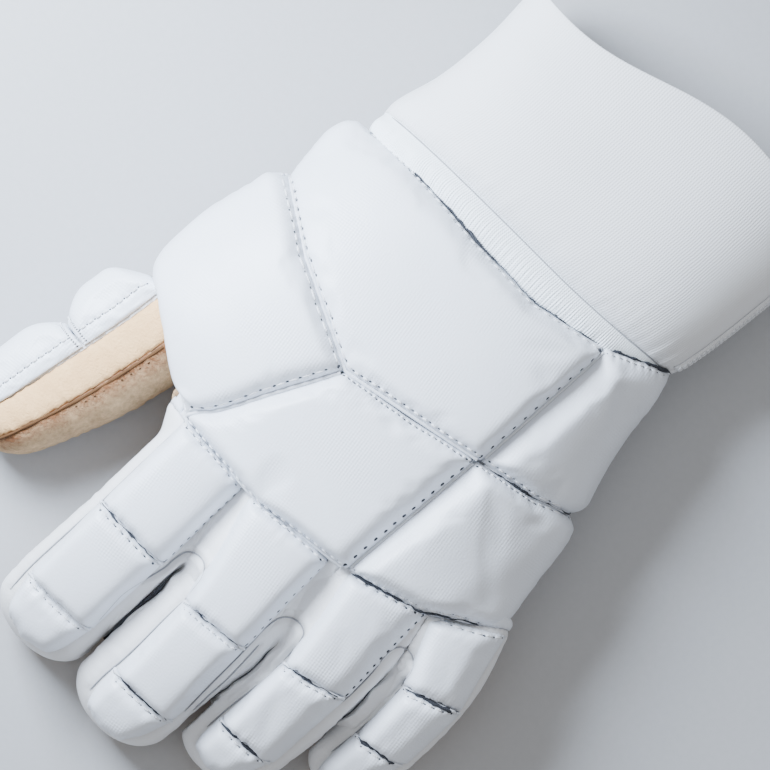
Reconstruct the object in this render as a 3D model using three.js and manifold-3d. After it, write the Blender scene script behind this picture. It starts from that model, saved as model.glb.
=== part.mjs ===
// A left-hand bandy glove lying palm down: white padded back, natural leather palm and a wide elastic cuff.
// Millimetres. +Z is up off the back of the hand, the fingers point to -Y, the cuff opens to +Y and the
// thumb is at -X. The origin is on the resting plane under the middle of the glove.
// The glove is hollow: cuff, hand, four fingers and thumb share one open space with leather walls.
import * as THREE from "three";
import { mergeVertices } from "three/addons/utils/BufferGeometryUtils.js";
import Module from "manifold-3d";

const wasm = await Module();
wasm.setup();

// Driving dimensions
const WALL = 2.2; // leather with its lining
const CUFF_WALL = 2.6; // doubled elastic fabric
const BAND_WALL = 3.0; // ribbed elastic tape
const SEAM_GAP = 0.35; // daylight left between two pieces sewn together
const PAD_LIFT = 0.5; // clearance between a pad and the shell under it
const PAD_EDGE = 2.4; // thickness of a pad at its sewn edge
const BACK_SLOPE = 8; // width of the sloping edge of a pad on the back of the hand
const FINGER_SLOPE = 6.5; // the same on a finger
const SEAM_INSET = 0.5; // how far a pad stays inside its seam line
const PAD_ROOT = 1.5; // how deep a pad starts before the shell's own form is cut away from it
const FAR_AWAY = 200; // reach of a cutting solid past the glove
const SQUARENESS = 2.5; // 2 is an ellipse, more is boxier
const SPLIT = 35; // the palm leather starts this many degrees below a finger's widest line

// The wrist seam leans: it runs up towards the cuff on the little-finger side
const LEAN_FROM_X = 12;
const LEAN_OVER = 54;
const LEAN_RISE = 5;
const LEAN_STARTS_Y = 20;
const WRIST_Y = 58;

// Outer size of the hand without its pads, a row for each section from the knuckles to the wrist.
// A floor below 0 is pressed flat on the resting plane.
const HAND = {
  squareness: 2.45,
  rows: [
    { y: -66, left: -44, right: 84, floor: 24, top: 46 },
    { y: -56, left: -49.5, right: 87, floor: 19, top: 51 },
    { y: -46, left: -54, right: 86.5, floor: 13, top: 53 },
    { y: -30, left: -73.5, right: 83, floor: 5, top: 54 },
    { y: -8, left: -77, right: 77.5, floor: -2.5, top: 55 },
    { y: 18, left: -71.5, right: 69, floor: -2.5, top: 55 },
    { y: 45, left: -68, right: 64, floor: -2.5, top: 53 },
    { y: WRIST_Y, left: -64, right: 65, floor: -2, top: 51 },
  ],
};

// Fingers and thumb: centre line (x, z) and half sizes, a row for each section from the root to the tip
const FINGERS = {
  index: {
    tipRadius: 14,
    rows: [
      { y: -40, x: -24, z: 37, wide: 18.5, tall: 14 },
      { y: -72, x: -25.5, z: 35.5, wide: 18.3, tall: 14 },
      { y: -95, x: -26, z: 33, wide: 18.6, tall: 13.8 },
      { y: -130, x: -27.5, z: 23, wide: 19.6, tall: 13.6 },
      { y: -154, x: -28, z: 12, wide: 19.5, tall: 13.5 },
    ],
  },
  middle: {
    tipRadius: 15,
    rows: [
      { y: -40, x: 11, z: 38, wide: 21, tall: 14.5 },
      { y: -72, x: 13, z: 37, wide: 21, tall: 14.5 },
      { y: -98, x: 15, z: 34, wide: 20, tall: 14.2 },
      { y: -132, x: 12.8, z: 24, wide: 20, tall: 14 },
      { y: -156, x: 12, z: 12.5, wide: 19.6, tall: 13.8 },
    ],
  },
  ring: {
    tipRadius: 14,
    rows: [
      { y: -36, x: 50, z: 36, wide: 20, tall: 14 },
      { y: -68, x: 53, z: 35, wide: 19, tall: 14 },
      { y: -90, x: 54, z: 32, wide: 17.4, tall: 13.8 },
      { y: -119, x: 50.5, z: 21.5, wide: 18, tall: 13.4 },
      { y: -141, x: 47.5, z: 11.5, wide: 17.5, tall: 13 },
    ],
  },
  pinky: {
    tipRadius: 12,
    rows: [
      { y: -26, x: 75, z: 31, wide: 14.5, tall: 13 },
      { y: -50, x: 82.5, z: 30, wide: 15, tall: 13 },
      { y: -68, x: 85.5, z: 28, wide: 14.2, tall: 12.8 },
      { y: -90, x: 85.5, z: 20, wide: 14.2, tall: 12.4 },
      { y: -115, x: 82, z: 11, wide: 13.5, tall: 12 },
    ],
  },
};
const THUMB = {
  tipRadius: 13,
  rows: [
    { y: 12, x: -50, z: 25, wide: 15, tall: 18 },
    { y: -22, x: -65, z: 21, wide: 18, tall: 18.5 },
    { y: -48, x: -70, z: 18.5, wide: 17.5, tall: 18.5 },
    { y: -75, x: -76, z: 17.5, wide: 16.5, tall: 18 },
    { y: -98, x: -82.5, z: 16.5, wide: 13.5, tall: 17 },
    { y: -114, x: -88, z: 15, wide: 12.5, tall: 15 },
  ],
};
// Degrees round the thumb: its white back faces the side, its tan side panel faces up
const THUMB_BACK = [121, 236];
const THUMB_SIDE = [76, 120];
const THUMB_ROOT = [[-92, -22.5], [-49, -52]];

// Cuff sections; the rim is added to the last row as a wave across the cuff's width
const CUFF = [
  { y: 68, left: -66, right: 67, floor: -2, top: 53 },
  { y: 73, left: -67, right: 69, floor: -2.5, top: 58 },
  { y: 90, left: -63.5, right: 72, floor: -3, top: 61 },
  { y: 114, left: -61.5, right: 74, floor: -3, top: 61 },
  { y: 138.7, left: -62, right: 75.5, floor: -3, top: 59 },
];
const RUFFLE = { height: 6.8, length: 130, crestX: 27, underShift: 12, underSetBack: 3 };
const BAND_ROWS = [
  { y: 58.8, left: -66.5, right: 68, floor: -2, top: 51.5 },
  { y: 63, left: -67.5, right: 68.5, floor: -2, top: 53.5 },
  { y: 67.4, left: -66.5, right: 67.5, floor: -2, top: 53 },
];
const SIDE_TAPE = { width: 3.2, thick: 1.2, angle: 12 };

// Pads, as plan outlines: the edge nearer the cuff, then the edge nearer the fingertips, left to right.
// Pads that meet share a seam line. An x past the edge of the hand runs on down its side.
const SEAMS = {
  band: [[-73, 57.3], [-12, 56.2], [47.8, 57.4]],
  bandSide: [[47.8, 57.4], [60, 57.5], [77, 57.5]],
  wrist: [[-82.5, 24], [-12, -6.3], [40, 4]],
  side: [[40, 4], [60, 7.8], [83.5, 17.5]],
  thumbTop: [[-86, 23.5], [-46, 8.2], [-12, -6.3]],
  thumbLow: [[-89.5, -23.5], [-62.5, -38.5], [-37.5, -55.2]],
  middleTop: [[-12, -6.3], [13, -2.2], [38.8, 3.6]],
  middleLow: [[-37.5, -55.2], [-2, -57.2], [35, -52.8]],
  lowerTop: [[38.8, 3.6], [60, 7.8], [84.5, 16.5]],
  lowerLow: [[35, -52.8], [60, -46.5], [91, -28.5]],
};
// A pad's thickness is given at its left and right ends, because it thins out down the side of the hand.
// Its stations are the shares across it where its top is shaped, closer together where it wraps round.
const WRAPS_LEFT = [0.14, 0.3, 0.55, 0.78];
const WRAPS_RIGHT = [0.22, 0.45, 0.7, 0.86];
const BACK_PADS = [
  {
    name: "back_pad_wrist", thick: [7, 14],
    far: SEAMS.band, near: SEAMS.wrist, stations: WRAPS_LEFT,
  },
  {
    name: "back_pad_side_upper", thick: [13, 9],
    far: SEAMS.bandSide, near: SEAMS.side, stations: WRAPS_RIGHT,
  },
  {
    name: "back_pad_thumb_side", thick: [10, 13],
    far: SEAMS.thumbTop, near: SEAMS.thumbLow, stations: WRAPS_LEFT,
  },
  {
    name: "back_pad_middle", thick: [12, 12],
    far: SEAMS.middleTop, near: SEAMS.middleLow, stations: [0.5],
  },
  {
    name: "back_pad_side_lower", thick: [13, 8.5],
    far: SEAMS.lowerTop, near: SEAMS.lowerLow, stations: WRAPS_RIGHT,
  },
];
const FINGER_PADS = [
  {
    name: "index_pad_1", on: "index", thick: 10,
    far: [[-39.5, -56.5], [-9.8, -58.5]], near: [[-40, -95.5], [-10.5, -96]],
  },
  {
    name: "index_pad_2", on: "index", thick: 10,
    far: [[-41, -95.5], [-11, -96]], near: [[-42, -130.5], [-12.5, -130]],
  },
  {
    name: "index_pad_3", on: "index", thick: 9,
    far: [[-42, -130.5], [-12.5, -130]], near: [[-39, -148.5], [-16, -148.5]],
  },
  {
    name: "middle_pad_1", on: "middle", thick: 10.5,
    far: [[-5, -58.5], [28.5, -56.5]], near: [[0.5, -99], [29.5, -96.3]],
  },
  {
    name: "middle_pad_2", on: "middle", thick: 10.5,
    far: [[3, -99], [30.5, -96.3]], near: [[3.5, -133], [30.5, -132]],
  },
  {
    name: "middle_pad_3", on: "middle", thick: 9,
    far: [[2.5, -133], [30, -132]], near: [[3, -151.5], [24, -151.5]],
  },
  {
    name: "ring_pad_1", on: "ring", thick: 10,
    far: [[37, -53], [65.3, -46.3]], near: [[42, -90.5], [66.5, -84.2]],
  },
  {
    name: "ring_pad_2", on: "ring", thick: 10,
    far: [[42, -90.5], [66.5, -84.2]], near: [[41, -119.5], [64.5, -118.5]],
  },
  {
    name: "ring_pad_3", on: "ring", thick: 8.5,
    far: [[40.5, -119.5], [64, -118.5]], near: [[40, -135], [58, -135]],
  },
  {
    name: "pinky_pad_1", on: "pinky", thick: 9.5,
    far: [[68, -46], [89, -33.5]], near: [[76.5, -67.5], [97, -60.5]],
  },
  {
    name: "pinky_pad_2", on: "pinky", thick: 9.5,
    far: [[77, -67.5], [97.5, -60.5]], near: [[77.5, -91], [97.5, -87]],
  },
  {
    name: "pinky_pad_3", on: "pinky", thick: 8,
    far: [[77, -91], [97, -87]], near: [[76.5, -111], [91, -111]],
  },
];
const THUMB_PADS = [
  { name: "thumb_pad_1", thick: 8, round: [140, 222], along: [-30.5, -63.5] },
  { name: "thumb_pad_2", thick: 8.5, round: [140, 222], along: [-63.5, -107.5] },
];

// Materials
function leather(color, roughness) {
  return new THREE.MeshStandardMaterial({ color, roughness, metalness: 0 });
}
const WHITE_LEATHER = leather(0xe9ecf1, 0.42);
const WHITE_GUSSET = leather(0xe6e4e6, 0.55);
const TAN_LEATHER = leather(0xe3d3bd, 0.85);
const TAN_SUEDE = leather(0xb59473, 0.95);
const CUFF_FABRIC = leather(0xdfe3e6, 0.8);
const RIBBED_ELASTIC = leather(0xe4ebf4, 0.75);

const radians = THREE.MathUtils.degToRad;

// One column of a table at any y, as a smooth curve through its rows
function columnAt(rows, key, y) {
  const down = rows[0].y > rows[rows.length - 1].y;
  const sorted = down ? [...rows].reverse() : rows;
  const last = sorted.length - 1;
  const at = Math.min(Math.max(y, sorted[0].y), sorted[last].y);
  const i = Math.min(Math.max(sorted.findIndex((row) => row.y > at) - 1, 0), last - 1);
  const k = at >= sorted[last].y ? last - 1 : i;
  const slope = (j) => {
    const a = sorted[Math.max(j - 1, 0)];
    const b = sorted[Math.min(j + 1, last)];
    return (b[key] - a[key]) / (b.y - a.y);
  };
  const span = sorted[k + 1].y - sorted[k].y;
  const t = (at - sorted[k].y) / span;
  const t2 = t * t;
  const t3 = t2 * t;
  return (
    (2 * t3 - 3 * t2 + 1) * sorted[k][key] +
    (t3 - 2 * t2 + t) * span * slope(k) +
    (3 * t2 - 2 * t3) * sorted[k + 1][key] +
    (t3 - t2) * span * slope(k + 1)
  );
}

// Where an angle meets a rounded box one unit across: 0 is right, 90 is up, 180 is left
function roundedBox(angle, squareness) {
  const power = 2 / squareness;
  const c = Math.cos(radians(angle));
  const s = Math.sin(radians(angle));
  return [Math.sign(c) * Math.abs(c) ** power, Math.sign(s) * Math.abs(s) ** power];
}

function lean(x, y) {
  const across = Math.max(0, (x - LEAN_FROM_X) / LEAN_OVER);
  return LEAN_RISE * across * across * THREE.MathUtils.smoothstep(y, LEAN_STARTS_Y, WRIST_Y);
}

// A surface is a function of the angle round it, the place along it and how far it is grown outwards
const HAND_WIDEST = 0.45; // share of its height at which the hand is widest
function boxSection(rows, squareness) {
  return (angle, y, grow = 0) => {
    const left = columnAt(rows, "left", y) - grow;
    const right = columnAt(rows, "right", y) + grow;
    const floor = columnAt(rows, "floor", y) - grow;
    const top = columnAt(rows, "top", y) + grow;
    const [across, up] = roundedBox(angle, squareness);
    const widest = floor + HAND_WIDEST * (top - floor);
    const x = (left + right) / 2 + (across * (right - left)) / 2;
    const z = widest + up * (up > 0 ? top - widest : widest - floor);
    return new THREE.Vector3(x, y + lean(x, y), Math.max(z, -grow));
  };
}
const handSurface = boxSection(HAND.rows, HAND.squareness);

// Sizes of a finger at y, with its end rounded off over the tip radius
function fingerSizes(finger, y) {
  const tip = finger.rows[finger.rows.length - 1].y;
  const roundsFrom = tip + finger.tipRadius;
  const sizes = {};
  for (const key of ["x", "z", "wide", "tall"]) sizes[key] = columnAt(finger.rows, key, y);
  const into = THREE.MathUtils.clamp((roundsFrom - y) / finger.tipRadius, 0, 1);
  sizes.round = Math.sqrt(1 - into * into);
  return sizes;
}
function fingerSurface(finger) {
  return (angle, y, grow = 0) => {
    const size = fingerSizes(finger, y);
    const [across, up] = roundedBox(angle, SQUARENESS);
    const x = size.x + across * (size.wide * size.round + grow);
    const z = size.z + up * (size.tall * size.round + grow);
    return new THREE.Vector3(x, y, Math.max(z, -grow));
  };
}

// A closed body from rings of points, each ring running the same way round, with flat ends
function loftRings(rings) {
  const count = rings[0].length;
  const positions = rings.flat().flatMap((p) => [p.x, p.y, p.z]);
  const faces = [];
  for (let r = 0; r + 1 < rings.length; r++) {
    for (let k = 0; k < count; k++) {
      const a = r * count + k;
      const b = r * count + ((k + 1) % count);
      faces.push(a, b, b + count, a, b + count, a + count);
    }
  }
  const lastRing = (rings.length - 1) * count;
  for (let k = 1; k + 1 < count; k++) {
    faces.push(0, k + 1, k);
    faces.push(lastRing, lastRing + k, lastRing + k + 1);
  }
  return meshOf(positions, faces);
}
// A closed wall from rings that come back to the first one, as round a tube and back inside it
function wallOfRings(rings) {
  const count = rings[0].length;
  const positions = rings.flat().flatMap((p) => [p.x, p.y, p.z]);
  const faces = [];
  rings.forEach((ring, r) => {
    const next = ((r + 1) % rings.length) * count;
    for (let k = 0; k < count; k++) {
      const a = r * count + k;
      const b = r * count + ((k + 1) % count);
      faces.push(a, b, next + ((k + 1) % count), a, next + ((k + 1) % count), next + k);
    }
  });
  return meshOf(positions, faces);
}
function meshOf(positions, faces) {
  const geometry = new THREE.BufferGeometry();
  geometry.setAttribute("position", new THREE.Float32BufferAttribute(positions, 3));
  geometry.setIndex(faces);
  return geometry;
}

// three.js geometry to a solid and back; a body built inside out is turned round first
function solidOf(geometry) {
  const merged = mergeVertices(geometry, 1e-3);
  const vertProperties = new Float32Array(merged.attributes.position.array);
  const triVerts = new Uint32Array(merged.index.array);
  const solid = new wasm.Manifold(new wasm.Mesh({ numProp: 3, vertProperties, triVerts }));
  if (solid.volume() > 0) return solid;
  for (let i = 0; i < triVerts.length; i += 3) {
    [triVerts[i + 1], triVerts[i + 2]] = [triVerts[i + 2], triVerts[i + 1]];
  }
  return new wasm.Manifold(new wasm.Mesh({ numProp: 3, vertProperties, triVerts }));
}
function largestBody(solid) {
  return solid.decompose().sort((a, b) => b.volume() - a.volume())[0];
}
function geometryOf(solid) {
  const mesh = solid.getMesh();
  return meshOf(Array.from(mesh.vertProperties), Array.from(mesh.triVerts));
}

function evenAngles(count) {
  return Array.from({ length: count }, (_, k) => (k * 360) / count);
}
function ringOn(surface, angles, y, grow = 0) {
  return angles.map((angle) => surface(angle, y, grow));
}
function between(from, to, steps) {
  return Array.from({ length: steps + 1 }, (_, i) => from + ((to - from) * i) / steps);
}

// Hand: a loft through its rows, outside and inside
const HAND_SIDES = 24;
const LINING_SIDES = 16;
function handSolid(grow, fromY, toY) {
  const rows = HAND.rows.map((row) => row.y).filter((y) => y > fromY + 1 && y < toY - 1);
  const stations = [fromY, ...rows, toY];
  return solidOf(loftRings(stations.map((y) => ringOn(handSurface, evenAngles(HAND_SIDES), y, grow))));
}
// The inside runs out through the wrist, so that the hand is open there
function handHollow() {
  const angles = evenAngles(LINING_SIDES);
  const stations = HAND.rows.map((row) => row.y + WALL);
  const rings = stations.map((y) => ringOn(handSurface, angles, Math.min(y, WRIST_Y), -WALL));
  const opened = ringOn(handSurface, angles, WRIST_Y, -WALL);
  rings.push(opened.map((p) => new THREE.Vector3(p.x, p.y + 20, p.z)));
  return solidOf(loftRings(rings));
}

// Finger: rings from the root to the tip, closer together where the end rounds off
const FINGER_SIDES = 12;
const FINGER_LINING_SIDES = 10;
const TIP_ANGLES = [28, 52, 72];
function fingerSolid(finger, grow) {
  const { rows, tipRadius } = finger;
  const roundsFrom = rows[rows.length - 1].y + tipRadius;
  const straight = rows.map((row) => row.y).filter((y) => y > roundsFrom + 3);
  const rounded = TIP_ANGLES.map((angle) => roundsFrom - tipRadius * Math.sin(radians(angle)));
  const stations = [...straight, roundsFrom, ...rounded];
  const surface = fingerSurface(finger);
  const shift = Math.min(grow, 0);
  const angles = evenAngles(grow < 0 ? FINGER_LINING_SIDES : FINGER_SIDES);
  const rings = stations.map((y) => {
    const ring = ringOn(surface, angles, y, grow);
    return ring.map((p) => new THREE.Vector3(p.x, p.y - shift, p.z));
  });
  return solidOf(loftRings(rings.reverse()));
}

// A wedge round a finger's centre line, from one angle to another, run past its tip
function wedge(finger, fromAngle, toAngle, startY) {
  const tip = finger.rows[finger.rows.length - 1].y;
  const reach = 45;
  const steps = Math.max(2, Math.ceil((toAngle - fromAngle) / 60));
  const angles = between(fromAngle, toAngle, steps);
  const ys = [startY, ...finger.rows.map((row) => row.y).filter((y) => y < startY - 2), tip - 20];
  const rings = ys.map((y) => {
    const x = columnAt(finger.rows, "x", y);
    const z = columnAt(finger.rows, "z", y);
    const rim = angles.map((angle) => {
      return new THREE.Vector3(x + reach * Math.cos(radians(angle)), y, z + reach * Math.sin(radians(angle)));
    });
    return [new THREE.Vector3(x, y, z), ...rim];
  });
  return solidOf(loftRings(rings.reverse()));
}

// A plan outline standing the full height of the glove
function planPrism(outline) {
  const shape = new THREE.Shape(outline.map(([x, y]) => new THREE.Vector2(x, y)));
  const prism = new THREE.ExtrudeGeometry(shape, { depth: FAR_AWAY, bevelEnabled: false });
  prism.deleteAttribute("normal");
  prism.deleteAttribute("uv");
  prism.translate(0, 0, -FAR_AWAY / 2);
  return solidOf(prism);
}
// A side outline of (y, z) points standing the full width of the glove
function sidePrism(outline) {
  const shape = new THREE.Shape(outline.map(([y, z]) => new THREE.Vector2(y, z)));
  const prism = new THREE.ExtrudeGeometry(shape, { depth: 2 * FAR_AWAY, bevelEnabled: false });
  prism.deleteAttribute("normal");
  prism.deleteAttribute("uv");
  prism.applyMatrix4(new THREE.Matrix4().makeBasis(
    new THREE.Vector3(0, 1, 0), new THREE.Vector3(0, 0, 1), new THREE.Vector3(1, 0, 0)));
  prism.translate(-FAR_AWAY, 0, 0);
  return solidOf(prism);
}

function unionOf(solids) {
  return solids.reduce((sum, solid) => sum.add(solid));
}
const fingerList = Object.values(FINGERS);

function outerForm(grow) {
  return unionOf([
    handSolid(grow, HAND.rows[0].y, WRIST_Y),
    ...fingerList.map((finger) => fingerSolid(finger, grow)),
    fingerSolid(THUMB, grow),
  ]);
}
// The whole leather shell in one, before it is cut into its panels
function wholeShell() {
  const inside = unionOf([
    handHollow(),
    ...fingerList.map((finger) => fingerSolid(finger, -WALL)),
    fingerSolid(THUMB, -WALL),
  ]);
  return outerForm(0).subtract(inside);
}

// Everything below the seam between the white back and the tan palm
const PALM_SEAM = [[-60, 28], [-46, 21], [-30, 12], [-8, 9], [90, 9]];
function palmZone(gap) {
  const seam = PALM_SEAM.map(([y, z]) => [y, z + gap]);
  const handPart = sidePrism([[-60, -FAR_AWAY], ...seam, [90, -FAR_AWAY]]);
  const turn = gap > 0 ? 1.2 : 0;
  const fingerParts = fingerList.map((finger) => {
    const startY = finger.rows[0].y - 12;
    return wedge(finger, 180 + SPLIT - turn, 360 - SPLIT + turn, startY);
  });
  return unionOf([handPart, ...fingerParts]);
}

// Plan lines between the fingers, from the knuckle seam out past the tips
const KNUCKLES = [[-60, -56], [-9, -58.5], [33, -53], [66, -45], [89, -29.5], [115, -24]];
const VALLEYS = [
  [[-9, -58.5], [-7.4, -90], [-6.6, -125], [-7, -180]],
  [[33, -53], [34, -85], [35.3, -110], [33, -180]],
  [[66, -45], [70.5, -66], [70.5, -95], [69.5, -180]],
];
const OUTER_LEFT = [[-60, -56], [-56, -180]];
const OUTER_RIGHT = [[115, -24], [115, -180]];
function fingerZone(i) {
  const left = i === 0 ? OUTER_LEFT : VALLEYS[i - 1];
  const right = i === 3 ? OUTER_RIGHT : VALLEYS[i];
  const shift = (line, by) => line.map(([x, y]) => [x + by, y]);
  const knuckle = KNUCKLES.slice(i === 3 ? 3 : i, i === 3 ? 6 : i + 2);
  const top = knuckle.map(([x, y]) => [x, y - SEAM_GAP]);
  top[0][0] += SEAM_GAP / 2;
  top[top.length - 1][0] -= SEAM_GAP / 2;
  const rightSide = shift(right, -SEAM_GAP / 2).slice(1);
  const leftSide = shift(left, SEAM_GAP / 2).slice(1).reverse();
  return planPrism([...top, ...rightSide, ...leftSide]);
}
function allFingersZone() {
  const line = KNUCKLES.map(([x, y]) => [x, y]);
  return planPrism([...line, [115, -180], [-56, -180]]);
}
// Plan lines of the two seams where the back of the hand turns down its sides
const SIDE_SEAMS = {
  thumb: [[-50, 80], [-52, -10], [-42, -64]],
  little: [[50, 80], [56, 0], [70, -64]],
};
function sideZone(side, gap) {
  const away = side === "thumb" ? -1 : 1;
  const line = SIDE_SEAMS[side].map(([x, y]) => [x + away * gap, y]);
  const [first, last] = [line[0], line[line.length - 1]];
  const outline = [...line, [away * FAR_AWAY, last[1]], [away * FAR_AWAY, first[1]]];
  return planPrism(outline);
}
function thumbZone(gap) {
  const [outer, inner] = THUMB_ROOT;
  const along = new THREE.Vector2(inner[0] - outer[0], inner[1] - outer[1]).normalize();
  const away = [along.y * gap, -along.x * gap];
  const shifted = THUMB_ROOT.map(([x, y]) => [x - away[0], y - away[1]]);
  const reach = along.clone().multiplyScalar(60);
  const far = [shifted[0][0] - reach.x, shifted[0][1] - reach.y];
  return planPrism([far, shifted[0], shifted[1], [shifted[1][0], -150], [-150, -150]]);
}

// A pad: a slab of foam on a surface, with a flat top and edges that slope down to its seams.
// Shares of 0 to 1 run across it from left to right, and along it from the cuff side to the tips.
function rise(share, span, slope) {
  const fromEdge = Math.min(share, 1 - share) * span;
  return Math.sin((Math.PI / 2) * Math.min(1, fromEdge / slope));
}
const MID_SLOPE = 0.45; // share of the slope at which its rounding is shaped
function stationShares(span, slope, middle, isRounded) {
  const top = Math.min(slope / span, 0.4);
  const low = isRounded ? [top * MID_SLOPE] : [];
  const high = low.map((share) => 1 - share);
  return [0, ...low, top, ...middle, 1 - top, ...high, 1];
}
function normalOn(surface, angle, y) {
  const step = 0.5;
  const round = surface(angle + step, y, 50).sub(surface(angle - step, y, 50));
  const along = surface(angle, y - step, 50).sub(surface(angle, y + step, 50));
  return round.cross(along).normalize();
}
function padSolid(surface, place, [thickLeft, thickRight], slope, middle) {
  const isBackPad = middle.length > 0;
  const pointAt = (u, v) => surface(...place(u, v));
  const spanU = pointAt(0, 0.5).distanceTo(pointAt(0.5, 0.5)) + pointAt(0.5, 0.5).distanceTo(pointAt(1, 0.5));
  const spanV = pointAt(0.5, 0).distanceTo(pointAt(0.5, 1));
  const across = stationShares(spanU, slope, middle, true);
  const along = stationShares(spanV, slope, isBackPad ? [0.5] : [], isBackPad);
  const inset = (share, span) => (SEAM_INSET + share * (span - 2 * SEAM_INSET)) / span;
  const lower = [];
  const upper = [];
  for (const v of along) {
    for (const u of across) {
      const [angle, y] = place(inset(u, spanU), inset(v, spanV));
      const base = surface(angle, y);
      const normal = normalOn(surface, angle, y);
      const thick = thickLeft + (thickRight - thickLeft) * u;
      const height = PAD_EDGE + (thick - PAD_EDGE) * rise(u, spanU, slope) * rise(v, spanV, slope);
      lower.push(base.clone().addScaledVector(normal, -PAD_ROOT));
      upper.push(base.clone().addScaledVector(normal, PAD_LIFT + height));
    }
  }
  const positions = [...lower, ...upper].flatMap((p) => [p.x, p.y, p.z]);
  const count = across.length;
  const rows = along.length;
  const above = count * rows;
  const faces = [];
  for (let j = 0; j + 1 < rows; j++) {
    for (let i = 0; i + 1 < count; i++) {
      const a = j * count + i;
      const [b, c, d] = [a + 1, a + count + 1, a + count];
      faces.push(a, c, b, a, d, c);
      faces.push(above + a, above + b, above + c, above + a, above + c, above + d);
    }
  }
  const rim = [];
  for (let i = 0; i + 1 < count; i++) rim.push(i);
  for (let j = 0; j + 1 < rows; j++) rim.push(j * count + count - 1);
  for (let i = count - 1; i > 0; i--) rim.push((rows - 1) * count + i);
  for (let j = rows - 1; j > 0; j--) rim.push(j * count);
  rim.forEach((a, k) => {
    const b = rim[(k + 1) % rim.length];
    faces.push(a, b, above + b, a, above + b, above + a);
  });
  return solidOf(meshOf(positions, faces));
}
function alongLine(points, share) {
  const steps = points.length - 1;
  const i = Math.min(Math.floor(share * steps), steps - 1);
  const t = share * steps - i;
  return points[i].map((value, k) => value + (points[i + 1][k] - value) * t);
}
// The angle round a section whose plan x is given; past its edge the angle runs on down the side
function angleAt(x, centre, halfWidth, halfHeight, squareness) {
  const share = (x - centre) / halfWidth;
  if (Math.abs(share) <= 1) {
    const c = Math.sign(share) * Math.abs(share) ** (squareness / 2);
    return THREE.MathUtils.radToDeg(Math.acos(c));
  }
  const past = THREE.MathUtils.radToDeg(((Math.abs(share) - 1) * halfWidth) / halfHeight);
  return share > 0 ? -past : 180 + past;
}
function planPlace(pad, angleOf) {
  return (u, v) => {
    const far = alongLine(pad.far, u);
    const near = alongLine(pad.near, u);
    const x = far[0] + (near[0] - far[0]) * v;
    const y = far[1] + (near[1] - far[1]) * v;
    return [angleOf(x, y), y];
  };
}
function handAngle(x, y) {
  const left = columnAt(HAND.rows, "left", y);
  const right = columnAt(HAND.rows, "right", y);
  const height = columnAt(HAND.rows, "top", y) - columnAt(HAND.rows, "floor", y);
  return angleAt(x, (left + right) / 2, (right - left) / 2, height / 2, HAND.squareness);
}
function fingerAngle(finger) {
  return (x, y) => {
    const size = fingerSizes(finger, y);
    const centre = size.x;
    return angleAt(x, centre, size.wide, size.tall, SQUARENESS);
  };
}

// Cuff and wrist band: walls that run up the outside and back down the inside
const CUFF_SIDES = 40;
const BAND_SIDES = 30;
const cuffSurface = boxSection(CUFF, SQUARENESS);
const bandSurface = boxSection(BAND_ROWS, SQUARENESS);
function rimRise(x, isUnder) {
  const crest = RUFFLE.crestX + (isUnder ? RUFFLE.underShift : 0);
  const wave = Math.cos((2 * Math.PI * (x - crest)) / RUFFLE.length);
  return RUFFLE.height * wave - (isUnder ? RUFFLE.underSetBack : 0);
}
function tubeWall(surface, rows, thickness, sides, riseAt) {
  const angles = evenAngles(sides);
  const ring = (y, inset, isRim) => angles.map((angle) => {
    const p = surface(angle, y, -inset);
    if (isRim) p.y += riseAt(p.x, Math.sin(radians(angle)) < 0);
    return p;
  });
  const last = rows.length - 1;
  const outside = rows.map((row, i) => ring(row.y, 0, i === last));
  const lining = [0, Math.floor(last / 2), last];
  const inside = lining.map((i) => ring(rows[i].y, thickness, i === last)).reverse();
  return solidOf(wallOfRings([...outside, ...inside]));
}
// The cuff is two pieces of elastic, sewn together down its sides at the height of the tape
function aboveCuffSeam(gap) {
  const seamZ = cuffSurface(SIDE_TAPE.angle, CUFF[2].y).z + gap;
  const [low, high] = [CUFF[0].y - 20, CUFF[CUFF.length - 1].y + 20];
  return sidePrism([[low, seamZ], [high, seamZ], [high, FAR_AWAY], [low, FAR_AWAY]]);
}
// The tape that covers the cuff's seam down its little-finger side
function sideTape() {
  const { width, thick, angle } = SIDE_TAPE;
  const lift = 0.5;
  const rings = [75, 90, 106, 122, 132].map((y) => {
    const centre = cuffSurface(angle, y);
    const beside = cuffSurface(angle + 4, y);
    const along = beside.clone().sub(centre).normalize();
    const out = normalOn(cuffSurface, angle, y);
    const corner = (side, rise) => centre.clone()
      .addScaledVector(along, (side * width) / 2)
      .addScaledVector(out, rise);
    return [corner(-1, lift), corner(1, lift), corner(1, lift + thick), corner(-1, lift + thick)];
  });
  return solidOf(loftRings(rings));
}

// Put the glove together
const glove = new THREE.Group();
function addPiece(name, solid, material) {
  const mesh = new THREE.Mesh(geometryOf(largestBody(solid)), material);
  mesh.name = name;
  glove.add(mesh);
}

const shell = wholeShell();
const thumbPart = shell.intersect(thumbZone(0));
const handAndFingers = shell.subtract(thumbZone(SEAM_GAP));
const white = handAndFingers.subtract(palmZone(SEAM_GAP));
const palm = handAndFingers.intersect(palmZone(0));
const back = white.subtract(allFingersZone());
addPiece("palm_leather", palm.subtract(allFingersZone()), TAN_LEATHER);
addPiece("hand_shell", back.subtract(sideZone("thumb", 0)).subtract(sideZone("little", 0)), WHITE_LEATHER);
addPiece("hand_side_thumb", back.intersect(sideZone("thumb", SEAM_GAP)), WHITE_LEATHER);
addPiece("hand_side_little", back.intersect(sideZone("little", SEAM_GAP)), WHITE_LEATHER);
Object.keys(FINGERS).forEach((name, i) => {
  addPiece(`${name}_sleeve`, white.intersect(fingerZone(i)), WHITE_GUSSET);
  addPiece(`${name}_palm`, palm.intersect(fingerZone(i)), TAN_LEATHER);
});

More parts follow.
